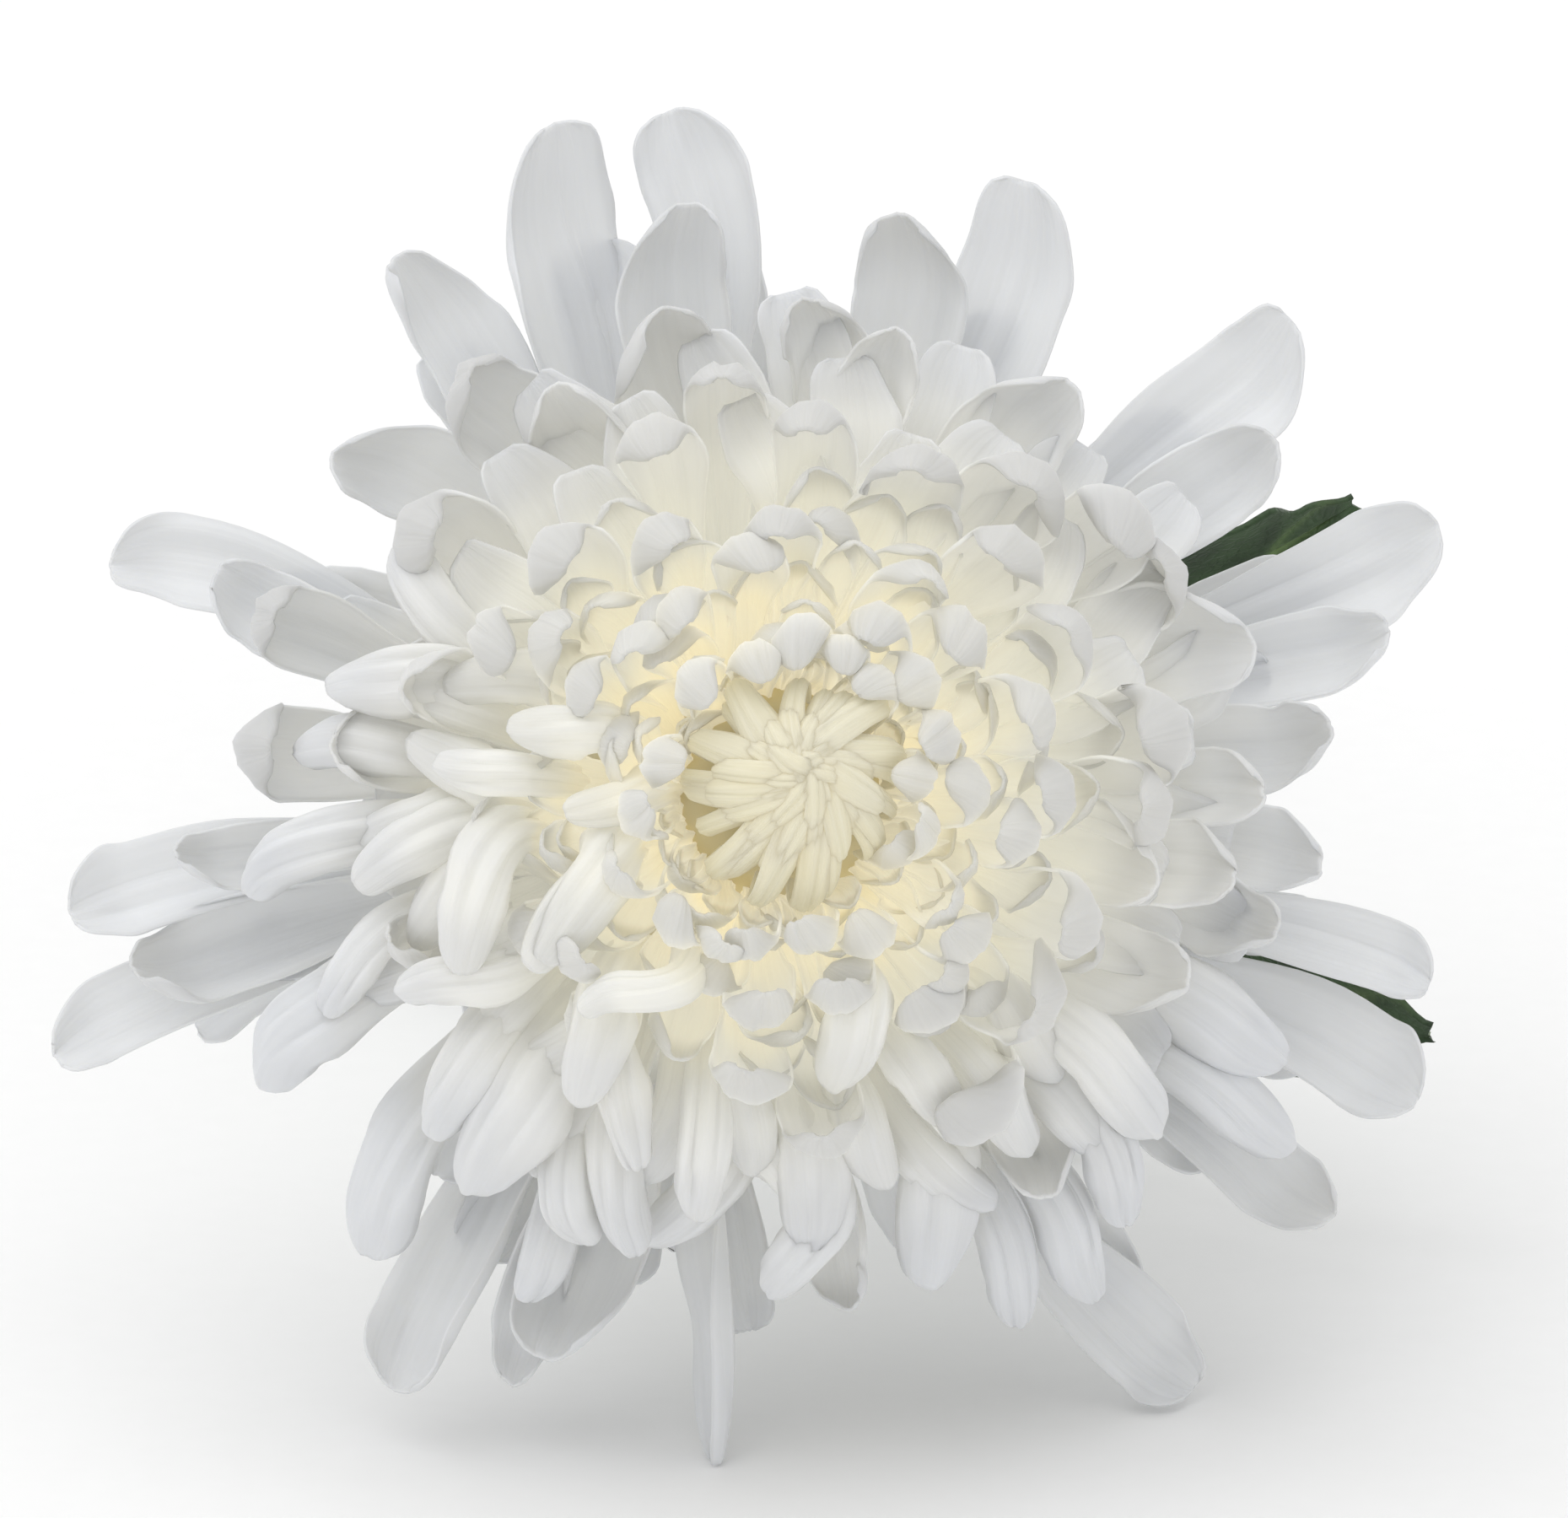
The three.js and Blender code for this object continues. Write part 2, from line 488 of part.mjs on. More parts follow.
const petalWhite = new THREE.MeshStandardMaterial({ color: 0xf1f1ea, roughness: 0.65, metalness: 0 });
const bractGreen = new THREE.MeshStandardMaterial({ color: 0x6f8a4e, roughness: 0.7, metalness: 0 });
const stemGreen = new THREE.MeshStandardMaterial({ color: 0x5f7a3f, roughness: 0.65, metalness: 0 });
const leafGreen = new THREE.MeshStandardMaterial({ color: 0x2c3f27, roughness: 0.7, metalness: 0 });

const group = new THREE.Group();
group.name = "disbud_chrysanthemum";
group.add(meshFrom("bloom", aboveSurface(bloomSolid()), petalWhite));
group.add(meshFrom("involucre", involucreSolid(), bractGreen));
group.add(meshFrom("stem", aboveSurface(stemSolid()), stemGreen));
for (const [name, shape] of Object.entries(LEAVES)) {
  group.add(meshFrom(name, aboveSurface(leafSolid(shape)), leafGreen));
}

export default group;
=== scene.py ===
import math
import random

import bmesh
import bpy
import numpy as np
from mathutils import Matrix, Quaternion, Vector


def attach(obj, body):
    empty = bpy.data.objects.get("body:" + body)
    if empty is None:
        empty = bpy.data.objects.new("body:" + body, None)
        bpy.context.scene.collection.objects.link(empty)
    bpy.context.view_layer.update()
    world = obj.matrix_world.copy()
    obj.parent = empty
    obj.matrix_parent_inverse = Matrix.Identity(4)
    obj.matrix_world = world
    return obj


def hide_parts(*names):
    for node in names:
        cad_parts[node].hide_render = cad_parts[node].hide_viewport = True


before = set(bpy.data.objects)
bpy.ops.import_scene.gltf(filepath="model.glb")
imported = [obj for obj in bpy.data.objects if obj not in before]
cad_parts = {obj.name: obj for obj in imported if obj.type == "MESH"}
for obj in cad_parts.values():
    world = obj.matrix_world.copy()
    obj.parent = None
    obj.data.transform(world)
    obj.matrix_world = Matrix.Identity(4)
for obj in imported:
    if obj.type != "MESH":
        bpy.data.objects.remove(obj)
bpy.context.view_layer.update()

scene = bpy.context.scene
MM = 0.001


def put_in_scene(name, data):
    """A new object with this name and data, in the scene."""
    made = bpy.data.objects.new(name, data)
    scene.collection.objects.link(made)
    return made


# ---- Viewpoint ----
# The flower lies on a table and its face looks 20 degrees up. The camera looks straight into the face
# from far off, as a long lens does, so near and far florets keep their sizes.
FACE_ELEVATION = math.radians(20)
BLOOM_CENTRE = Vector((4.0, -92.5, 62.0))
SIN_E, COS_E = math.sin(FACE_ELEVATION), math.cos(FACE_ELEVATION)


def in_bloom(x, y, w):
    """Metres in the part's frame, of a point x right, y up and w towards the viewer of the bloom's middle."""
    return (BLOOM_CENTRE + Vector((x, y * SIN_E - w * COS_E, y * COS_E + w * SIN_E))) * MM


# the frame's width and its middle in the plane of the face, and the camera's distance, in mm
FRAME_WIDTH = 146.9
FRAME_MIDDLE = (-0.8, 2.8)
CAMERA_DISTANCE = 1500.0
lens_data = bpy.data.cameras.new("studio_camera")
lens_data.sensor_width = 36.0
lens_data.lens = lens_data.sensor_width * CAMERA_DISTANCE / FRAME_WIDTH
lens_data.clip_end = 50.0
camera = put_in_scene("studio_camera", lens_data)
camera.location = in_bloom(*FRAME_MIDDLE, CAMERA_DISTANCE)
camera.rotation_mode = "QUATERNION"
camera.rotation_quaternion = Vector((0, COS_E, -SIN_E)).to_track_quat("-Z", "Y")
scene.camera = camera

# ---- Florets ----
# Each ray floret is a thin strap that leaves the receptacle narrow, widens, and ends in a blunt, faintly
# three-toothed tip. Outer ones lie open, middle ones are boats, hoods or arching fingers, inner ones are
# short hoods, and the heart's narrow ones lie over one another in a swirl.
MATH = "ShaderNodeMath"
VECTOR = "ShaderNodeVectorMath"
RANGE = "ShaderNodeMapRange"
NOISE = "ShaderNodeTexNoise"
MIX = "ShaderNodeMix"
HELD = "ShaderNodeAttribute"
COMBINE = "ShaderNodeCombineXYZ"
COORDINATES = "ShaderNodeTexCoord"
PRINCIPLED = "ShaderNodeBsdfPrincipled"
OUTPUT = "ShaderNodeOutputMaterial"
BUMP = "ShaderNodeBump"
RAMP = "ShaderNodeValToRGB"
ROTATE = "ShaderNodeVectorRotate"


def add(tree, kind, links=(), operation=None, out=0, **settings):
    """A node with its inputs (values, or sockets to link from) and settings. Returns the output asked for."""
    node = tree.nodes.new(kind)
    if operation:
        node.operation = operation
    for name, value in settings.items():
        setattr(node, name, value)
    for key, value in dict(links).items():
        if isinstance(value, bpy.types.NodeSocket):
            tree.links.new(value, node.inputs[key])
        else:
            node.inputs[key].default_value = value
    return node.outputs[out] if node.outputs else node


def new_material(name):
    """An empty node material and its tree."""
    made = bpy.data.materials.new(name)
    made.use_nodes = True
    made.node_tree.nodes.clear()
    return made, made.node_tree


def srgb(code):
    """Linear colour of an sRGB hex code."""
    parts = [int(code[i:i + 2], 16) / 255 for i in (1, 3, 5)]
    return (*[c / 12.92 if c <= 0.04045 else ((c + 0.055) / 1.055) ** 2.4 for c in parts], 1.0)


def set_stops(ramp, *stops):
    """Gives a colour ramp's node its stops (position, hex code), of which it has two already."""
    elements = ramp.node.color_ramp.elements
    for i, (position, code) in enumerate(stops):
        stop = elements[i] if i < 2 else elements.new(position)
        stop.position, stop.color = position, srgb(code)


def along_table(table, value):
    """Straight lines between pairs (input, output)."""
    return float(np.interp(value, *zip(*table)))


# the bloom's middle line leans back from the middle of its face, by these shares of the depth below its top
DOME_TOP = 36.0
AXIS_LEAN = (0.075, 0.015)
# depth of a floret's tip, and radius and depth of its root, by its reach
TIP_DEPTH = (
    (4, 36), (15, 33), (22, 29), (30, 24), (38, 17), (45, 10), (52, 3), (58, -3), (64, -9), (75, -14))
ROOT_RADIUS = ((4, 3), (15, 7), (22, 10), (30, 14), (38, 18), (45, 20), (58, 20), (75, 17))
ROOT_DEPTH = ((4, 18), (15, 16), (22, 13), (30, 8), (38, 1), (45, -5), (52, -10), (58, -13), (75, -18))

# leave and arrive: degrees by which the strap starts above, and ends above, the straight line from its root
# to its tip. cup: half angle of the cross-section, positive where the margins rise on the inner face. curl:
# degrees by which the tip turns over, along "tip" times the strap's width. point: how narrow it ends. broad:
# share of the floret's width. groove: how deep the ridges are.
HABIT_NUMBERS = ("leave", "arrive", "cup", "curl", "tip", "point", "broad", "groove")
HABITS = {
    "open": (6, -4, 40, 30, 1.1, 0.34, 0.94, 0.07),
    "boat": (2, -6, 56, 62, 1.2, 0.4, 1.0, 0.06),
    "hood": (-2, 4, 56, 138, 1.6, 0.24, 0.96, 0.05),
    "arch": (34, -46, -66, -70, 1.5, 0.42, 0.78, 0.14),
    "droop": (22, -42, -56, -40, 1.2, 0.4, 0.85, 0.12),
    "twist": (8, -16, 62, 24, 2.4, 0.06, 0.9, 0.1),
    "flat": (4, -12, 30, -20, 1.1, 0.4, 1.0, 0.05),
    "back": (-8, -6, 34, -16, 1.0, 0.3, 1.0, 0.06),
    "claw": (-6, -6, 40, 12, 0.8, 0.3, 1.0, 0.1),
    "fill": (-4, 6, 52, 60, 1.1, 0.26, 1.0, 0.05),
}

# The florets placed from the photo: azimuth (degrees, counter-clockwise from the right), reach, width, habit,
# and where they aren't nought the sideways bow, roll (degrees) and depth added to the tip. Lengths in mm.
SEEN_FLORETS = [
    (99.2, 65, 8.8, "open", 2, -8), (113.4, 66.5, 11.2, "open", -1, 25), (104, 56, 9, "boat", -1),
    (108, 46, 10, "boat"), (99, 40, 7, "hood"), (118, 44, 9.5, "boat", 1, -15), (111, 37, 7, "hood"),
    (128, 62.5, 8.5, "boat", -1, 30), (130, 49, 9, "hood", 2, 10), (140.4, 53.5, 8, "boat", 2, 10),
    (146, 44, 9, "hood", 1, 15), (159.6, 68, 7.6, "open", 3, 20), (161, 58, 7, "boat", -2, -10, -2),
    (162, 53, 7, "hood"), (163, 45, 7, "arch", 2, 10, 2), (162, 37, 6.5, "boat", 0, 0, 1),
    (153, 33, 6, "hood", 1), (176, 52, 8, "hood"), (175, 43, 7.5, "boat", 0, 0, 1),
    (177, 33, 5, "arch", 0, 0, 2), (188.9, 69, 7.4, "open", 2, 15), (187, 58, 5, "boat", 0, 0, 1),
    (186, 52, 7, "arch", 1, 10, 1), (188, 42, 6.5, "arch", 1, 10, 2), (199, 38, 7, "arch", 6, 15, 5),
    (203, 29, 7, "arch", 3, 20, 4), (199, 74, 7, "open", 2, 20), (197, 64, 7.6, "boat", 1, 15, 1),
    (202, 49, 5, "arch", 3, 20, 2), (204.5, 57, 8.5, "arch", 1, 20, 1), (209, 41, 5.5, "arch", -3, 10, 3),
    (203, 40, 6, "boat"), (228, 48.5, 10.5, "arch", 2, 10, 3), (220, 47, 7, "arch", 2, 10, 2),
    (223.6, 60, 8.4, "droop", 4, 10), (235, 68, 8.5, "boat", 2, 20), (244, 62, 5, "boat", 2, 10),
    (247.5, 58, 10.5, "boat", 1, 20, 1), (240, 48, 5.5, "arch", 3, 10, 2), (245, 47, 6, "arch", 2, 5, 3),
    (242, 54, 5, "droop", 2, 5), (239, 40, 5.5, "arch", 5, 10, 5), (257, 41, 6, "arch", 1, 0, 4),
    (263.0, 65, 6.4, "twist", 3, 84, 3.5), (271, 48, 6, "arch", -5, 0, 2), (273, 43, 7, "droop", 0, 0, 2),
    (277, 49, 6, "boat", -1, 25), (291, 49, 8, "droop", -3, -10, 1), (295, 55, 5.5, "droop", -3, -10),
    (301.6, 69, 7.5, "open", 4, -15, -5.5), (302, 56, 5.5, "droop", -4, -10, 1),
    (311, 52, 6.5, "arch", -3, -10, 2), (305, 45, 7.5, "boat", -1, 0, 1), (302, 37, 9.5, "hood", 0, 0, 2),
    (320, 32, 9, "hood", 0, 0, 1), (302, 26, 7, "hood", 0, 0, 1), (310, 24, 6, "hood"),
    (286, 29, 7, "arch", -2, 0, 2), (276, 34, 7, "hood", 0, 0, 2), (261, 29, 7, "hood", 0, 0, 2),
    (263, 22, 6, "hood", 0, 0, 1), (281, 21, 6, "hood", 0, 0, 1), (229, 28, 4.5, "arch", -5, 10, 5),
    (216, 27, 6.5, "hood", 0, 0, 1), (230, 36, 7, "arch", 3, 10, 4), (320, 65, 7, "boat", -2, -15),
    (325, 58, 7, "droop", -2, -10), (318, 47, 7.5, "arch", -2, 0, 2), (333.6, 66, 8.2, "open", -2, -15),
    (332, 53, 7.5, "droop", -2, -10, 1), (343.8, 63, 6.2, "open", -1, -20, -1),
    (344, 47, 7, "boat", -3, 0, 2), (331, 41, 8, "boat", 0, 0, 2), (336, 31, 7, "hood", 0, 0, 2),
    (352, 50, 6.5, "boat", -1, -10, 1), (349, 42, 7.5, "boat", 0, 0, 2), (346, 35, 8.5, "boat", 0, 0, 2),
    (4, 50.5, 7, "boat", -1, -10, 1), (0, 44, 6.5, "boat", -1, 0, 1), (357, 35, 7.5, "hood", 0, 0, 2),
    (9, 37, 9, "hood", 0, 0, 2), (14, 58, 7, "boat", -1, -10, -1), (21, 66, 9, "open", 1, -10),
    (22, 45, 10, "boat", 0, 0, 2), (30, 42, 8, "hood"), (41.2, 64.5, 9.5, "open", -1, -15),
    (35, 56, 8, "boat", 0, -10), (41, 42, 8.5, "hood", 0, 0, 2), (58, 46, 9, "boat"),
    (65.8, 61.5, 10, "open", 1, -10), (76, 55, 9.5, "boat", 1), (85, 46, 7, "boat", 1),
    (78, 44, 6.5, "boat"), (69, 34, 9.5, "hood", 0, 0, 1), (54, 38, 9.5, "hood"),
    (86, 36, 7, "hood", 0, 0, 1), (48, 32, 8, "hood", 0, 0, 1), (92, 26, 6.5, "hood"),
    (118, 28, 6.5, "hood"), (101, 24, 6, "hood"), (61, 24, 6.5, "hood"), (136, 33, 7.5, "hood"),
    (148, 28, 6.5, "hood"), (135, 21, 6, "hood"), (123, 21, 5.5, "hood"), (164, 27, 6, "arch", 1),
    (153, 23, 5.5, "hood"), (182, 21, 5, "arch", 1), (191, 16, 4.5, "hood"), (209, 19, 5, "hood"),
    (205, 30, 6, "arch", 2, 0, 3), (232, 18, 5, "hood"), (245, 17, 5, "hood"), (256, 16, 4.5, "hood"),
    (280, 15, 4.5, "hood"), (299, 17, 5, "hood"), (318, 23, 6, "hood", 0, 0, 1), (322, 19, 5, "hood"),
    (348, 23, 6, "hood", 0, 0, 1), (0, 26, 7, "hood", 0, 0, 1), (358, 18, 5.5, "hood"),
    (20, 25, 7, "hood", 0, 0, 1), (44, 23, 6.5, "hood"), (30, 31, 8, "hood", 0, 0, 1),
    (40, 17, 5.5, "hood"), (22, 16, 5, "hood"), (106, 14, 4.5, "hood"), (87, 16, 5, "hood"),
    (71, 15, 4.5, "hood"), (61, 19, 5.5, "hood"), (50, 14, 4.5, "hood"), (132, 15, 4.5, "hood"),
    (168, 14, 4.5, "hood"), (340, 14, 4.5, "hood"), (4, 13, 4, "hood"),
]


def axis_point(w):
    """The bloom's axis leans from the middle of its face to the neck."""
    return Vector((-AXIS_LEAN[0] * (DOME_TOP - w), -AXIS_LEAN[1] * (DOME_TOP - w), w))


def outward(turn):
    """Away from the bloom's middle, at this angle counter-clockwise from the right."""
    return Vector((math.cos(turn), math.sin(turn), 0))


FORWARD = Vector((0, 0, 1))
SEED_VECTORS = ("lift", "bend", "rim", "side", "root")
# glow: the share of the petal's painted glow, an emission standing in for light through the florets, that a
# floret gets
SEED_NUMBERS = ("half_width", "cup", "curl", "tip_length", "roll", "point", "groove", "glow", "young", "full")


def strap_numbers(out, root, lift, bend, rim, width, cup, tip_length, **others):
    """What one strap is bent by, in metres and radians, from millimetres in the bloom's frame."""
    return {
        "root": in_bloom(*root), "lift": in_bloom(*lift), "bend": in_bloom(*bend), "rim": in_bloom(*rim),
        "side": in_bloom(*out.cross(FORWARD)) - in_bloom(0, 0, 0),
        "half_width": width / 2 * abs(cup) / math.sin(abs(cup)) * MM,
        "cup": cup, "tip_length": tip_length * MM, "glow": 1.0, "young": 0.0, "full": 0.0, **others,
    }


chance = random.Random(41)
# the florets that end inside the head's outline lean and turn a little more freely than their rows say
LOOSE_REACH = 50
LOOSE_BOW, LOOSE_ROLL = 0.16, 16
ARCH_BOW = 1.6
# the strap's handles, and its tip at most, as shares of the way from its root to its tip
LIFT_SHARE, BEND_SHARE, TIP_SHARE = 0.4, 0.28, 0.42


def floret(azimuth, reach, width, habit, bow=0, roll=0, extra=0, root_place=None):
    """The numbers of one floret's strap, whose tip lies at the azimuth and reach."""
    shape = dict(zip(HABIT_NUMBERS, HABITS[habit]))
    if habit in ("hood", "boat", "arch") and reach < LOOSE_REACH:
        bow += chance.uniform(-LOOSE_BOW, LOOSE_BOW) * width
        roll += chance.uniform(-LOOSE_ROLL, LOOSE_ROLL)
    turn = math.radians(azimuth)
    out = outward(turn)
    root_radius, root_depth = root_place or (along_table(ROOT_RADIUS, reach), along_table(ROOT_DEPTH, reach))
    root = axis_point(root_depth) + out * root_radius
    lean = AXIS_LEAN[0] * reach * math.cos(turn)
    tip = out * reach + FORWARD * (along_table(TIP_DEPTH, reach) - lean + extra)
    length = (tip - root).length
    chord = math.atan2((tip - root).z, (tip - root).dot(out))

    def heading(angle):
        return out * math.cos(angle) + FORWARD * math.sin(angle)

    arrive = chord + math.radians(shape["arrive"] + chance.uniform(-6, 6))
    curl = math.radians(shape["curl"]) * chance.uniform(0.5, 1.1)
    tip_length = min(width * shape["tip"] * chance.uniform(0.75, 1.1), length * TIP_SHARE)
    # the tip is at the outermost place of its arc, where it heads straight towards or away from the viewer
    farthest = min(max(arrive + curl, -math.pi / 2), math.pi / 2)
    radius = tip_length / curl
    rim = tip - out * radius * (math.sin(farthest) - math.sin(arrive))
    rim.z -= radius * (math.cos(arrive) - math.cos(farthest))
    bow *= ARCH_BOW if habit == "arch" else 1.0
    backwards = shape["cup"] < 0
    return strap_numbers(
        out, root, root + heading(chord + math.radians(shape["leave"])) * length * LIFT_SHARE,
        rim - heading(arrive) * length * BEND_SHARE + out.cross(FORWARD) * bow, rim, width * shape["broad"],
        math.radians(shape["cup"]), tip_length, curl=curl, roll=math.radians(roll), point=shape["point"],
        groove=shape["groove"], glow=0.75 if backwards else 1.0, full=0.5 if backwards else 0.0)


def floret_seeds(name, florets, seed):
    """One vertex per floret, which carries the floret's numbers and a phase of its own."""
    mesh = bpy.data.meshes.new(name)
    mesh.from_pydata([f["root"] for f in florets], [], [])
    phases = random.Random(seed)
    for key in SEED_VECTORS:
        held = mesh.attributes.new(key, "FLOAT_VECTOR", "POINT")
        held.data.foreach_set("vector", [c for f in florets for c in f[key]])
    for key in SEED_NUMBERS:
        held = mesh.attributes.new(key, "FLOAT", "POINT")
        held.data.foreach_set("value", [f[key] for f in florets])
    held = mesh.attributes.new("phase", "FLOAT", "POINT")
    held.data.foreach_set("value", [phases.random() * 40 for _ in florets])
    return put_in_scene(name, mesh)


# shares of the strap's length and half width: where the tip begins, and the width from the claw to there
TIP_FROM = 0.62
WIDTH_PROFILE = ((0.0, 0.36), (0.3, 0.5), (0.62, 0.76), (0.86, 0.97), (1.0, 1.0))
# how far the margin wanders, the section leans and the tip tilts to one side, as shares of the half width
WANDER = (0.84, 1.14)
SKEW = 0.45
TILT = 0.5
ROLLED_IN = 0.4
RIDGES = 3


def group_inputs(tree, rows, output):
    """Names the group's inputs (label, kind, default) and its output. Returns the inputs by label."""
    for label, kind, value in rows:
        socket = tree.interface.new_socket(label, in_out="INPUT", socket_type="NodeSocket" + kind)
        if value is not None:
            socket.default_value = value
    tree.interface.new_socket(output, in_out="OUTPUT", socket_type="NodeSocketGeometry")
    return {s.name: s for s in tree.nodes.new("NodeGroupInput").outputs}


def strap_tree(name):
    """Geometry Nodes: a flat grid on each seed, bent along the seed's own curve into a strap."""
    tree = bpy.data.node_groups.new(name, "GeometryNodeTree")
    given = group_inputs(tree, (
        ("Seeds", "Geometry", None), ("Rows", "Int", 33), ("Columns", "Int", 13),
        ("Groove depth", "Float", 1.0), ("Ripple", "Float", 0.003), ("Teeth", "Float", 0.00008),
        ("Material", "Material", None)), "Straps")

    grid = add(tree, "GeometryNodeMeshGrid", {
        "Size X": 1.0, "Size Y": 2.0, "Vertices X": given["Rows"], "Vertices Y": given["Columns"]})
    flat = add(tree, "ShaderNodeSeparateXYZ", {0: add(tree, "GeometryNodeInputPosition")})
    evenly = add(tree, MATH, {0: 0.5, 1: flat}, "SUBTRACT", use_clamp=True)
    crowded = add(tree, MATH, {0: evenly, 1: 1.15}, "POWER")
    along = add(tree, MATH, {0: 1.0, 1: crowded}, "SUBTRACT")
    for key, value in (("along", along), ("across", flat.node.outputs[1])):
        grid = add(tree, "GeometryNodeStoreNamedAttribute", {"Geometry": grid, "Name": key, "Value": value})
    placed = add(tree, "GeometryNodeInstanceOnPoints", {"Points": given["Seeds"], "Instance": grid})
    straps = add(tree, "GeometryNodeRealizeInstances", {"Geometry": placed})

    read = {}
    for key in (*SEED_VECTORS, *SEED_NUMBERS, "phase", "along", "across"):
        kind = "FLOAT_VECTOR" if key in SEED_VECTORS else "FLOAT"
        read[key] = add(tree, "GeometryNodeInputNamedAttribute", {"Name": key}, data_type=kind)
    u, v = read["along"], read["across"]

    def product(*factors):
        """The factors multiplied one after the other."""
        so_far = factors[0]
        for factor in factors[1:]:
            so_far = add(tree, MATH, {0: so_far, 1: factor}, "MULTIPLY")
        return so_far

    def moved(spot, *steps):
        """The spot, moved along each step's direction by its distance."""
        for way, far in steps:
            step = add(tree, VECTOR, {0: way, 3: far}, "SCALE")
            spot = add(tree, VECTOR, {0: spot, 1: step}, "ADD")
        return spot

    def arc_place(angle, radius):
        """How far an arc has gone on, and how far it has risen, after it has turned by the angle."""
        sine = add(tree, MATH, {0: angle}, "SINE")
        cosine = add(tree, MATH, {0: angle}, "COSINE")
        versed = add(tree, MATH, {0: 1.0, 1: cosine}, "SUBTRACT")
        return product(radius, sine), product(radius, versed)

    def drift(x, y, z, scale, detail, reach):
        """A slow random number at the place x, y, z, between about -reach and reach."""
        at = add(tree, COMBINE, {0: x, 1: y, 2: z})
        noise = add(tree, NOISE, {"Vector": at, "Scale": scale, "Detail": detail})
        return add(tree, RANGE, {0: noise, 1: 0.25, 2: 0.75, 3: -reach, 4: reach})

    # the strap's middle line: a cubic curve up to where the tip begins to turn, found by repeated mixing
    on_curve = add(tree, RANGE, {0: u, 2: TIP_FROM})
    in_tip = add(tree, RANGE, {0: u, 1: TIP_FROM, 2: 1.0})
    level = [read["root"], read["lift"], read["bend"], read["rim"]]
    while len(level) > 1:
        last_pair = level
        level = [
            add(tree, MIX, {0: on_curve, 4: a, 5: b}, out=1, data_type="VECTOR")
            for a, b in zip(level, level[1:])
        ]
    slope = add(tree, VECTOR, {0: last_pair[1], 1: last_pair[0]}, "SUBTRACT")
    forward = add(tree, VECTOR, {0: slope}, "NORMALIZE")

    # the strap's own directions there: across it, and out of its inner face
    overlap = add(tree, VECTOR, {0: read["side"], 1: forward}, "DOT_PRODUCT", out=1)
    shadow = add(tree, VECTOR, {0: forward, 3: overlap}, "SCALE")
    square = add(tree, VECTOR, {0: read["side"], 1: shadow}, "SUBTRACT")
    square = add(tree, VECTOR, {0: square}, "NORMALIZE")
    rolled = product(read["roll"], on_curve)
    side = add(tree, ROTATE, {"Vector": square, "Axis": forward, "Angle": rolled})
    upward = add(tree, VECTOR, {0: side, 1: forward}, "CROSS_PRODUCT")

    # the tip turns over on an arc
    turning = product(read["curl"], in_tip)
    radius = add(tree, MATH, {0: read["tip_length"], 1: read["curl"]}, "DIVIDE")
    onward, raised = arc_place(turning, radius)
    middle = moved(level[0], (forward, onward), (upward, raised))
    facing = add(tree, ROTATE, {"Vector": upward, "Axis": side, "Angle": turning})
    ahead = add(tree, ROTATE, {"Vector": forward, "Axis": side, "Angle": turning})

    # half width: a narrow claw, the shoulder, and a rounded end, with a margin that wanders a little
    profile = tree.nodes.new("ShaderNodeFloatCurve")
    curve = profile.mapping.curves[0]
    curve.points[0].location = WIDTH_PROFILE[0]
    curve.points[-1].location = WIDTH_PROFILE[-1]
    for x, y in WIDTH_PROFILE[1:-1]:
        curve.points.new(x, y)
    profile.mapping.update()
    tree.links.new(on_curve, profile.inputs["Value"])
    rounded = add(tree, MATH, {0: in_tip, 1: 1.9}, "POWER")
    rounded = add(tree, MATH, {0: 1.0, 1: rounded}, "SUBTRACT")
    rounded = add(tree, MATH, {0: rounded}, "SQRT")
    blunt = add(tree, RANGE, {0: rounded, 3: read["point"], 4: 1.0})
    waver_at = add(tree, COMBINE, {0: u, 1: read["phase"], 2: v})
    waver = add(tree, NOISE, {"Vector": waver_at, "Scale": 3.0, "Detail": 1.0})
    wander = add(tree, RANGE, {0: waver, 1: 0.2, 2: 0.8, 3: WANDER[0], 4: WANDER[1]})
    bodily = add(tree, RANGE, {0: read["full"], 3: profile.outputs[0], 4: 1.0})
    half = product(read["half_width"], bodily, blunt, wander)

    # cross-section: an arc that rolls in more at one margin, with three low ridges that wander
    cubed = add(tree, MATH, {0: v, 1: 3.0}, "POWER")
    rolled_in = add(tree, MATH, {0: cubed, 1: ROLLED_IN, 2: v}, "MULTIPLY_ADD")
    skew = drift(u, read["phase"], 7.0, 1.3, 0.0, SKEW)
    rolled_in = add(tree, MATH, {0: product(v, v), 1: skew, 2: rolled_in}, "MULTIPLY_ADD")
    swept = product(read["cup"], rolled_in)
    arc = add(tree, MATH, {0: half, 1: read["cup"]}, "DIVIDE")
    sideways, rise = arc_place(swept, arc)
    waves = product(v, RIDGES * math.pi)
    waves = add(tree, MATH, {0: skew, 1: 3.0, 2: waves}, "MULTIPLY_ADD")
    ridges = add(tree, MATH, {0: waves}, "COSINE")
    fading = add(tree, RANGE, {0: in_tip, 2: 0.7, 3: 1.0, 4: 0.15})
    ridge_depth = product(ridges, given["Groove depth"], half, read["groove"], fading)
    rise = add(tree, MATH, {0: rise, 1: ridge_depth}, "ADD")

    # the tip leans to one side, because its middle lobe seldom stays in the middle
    tilt = drift(read["phase"], 3.3, 1.0, 1.7, 0.0, TILT)
    leant = product(add(tree, MATH, {0: in_tip, 1: 2.0}, "POWER"), tilt)
    sideways = add(tree, MATH, {0: leant, 1: read["half_width"], 2: sideways}, "MULTIPLY_ADD")

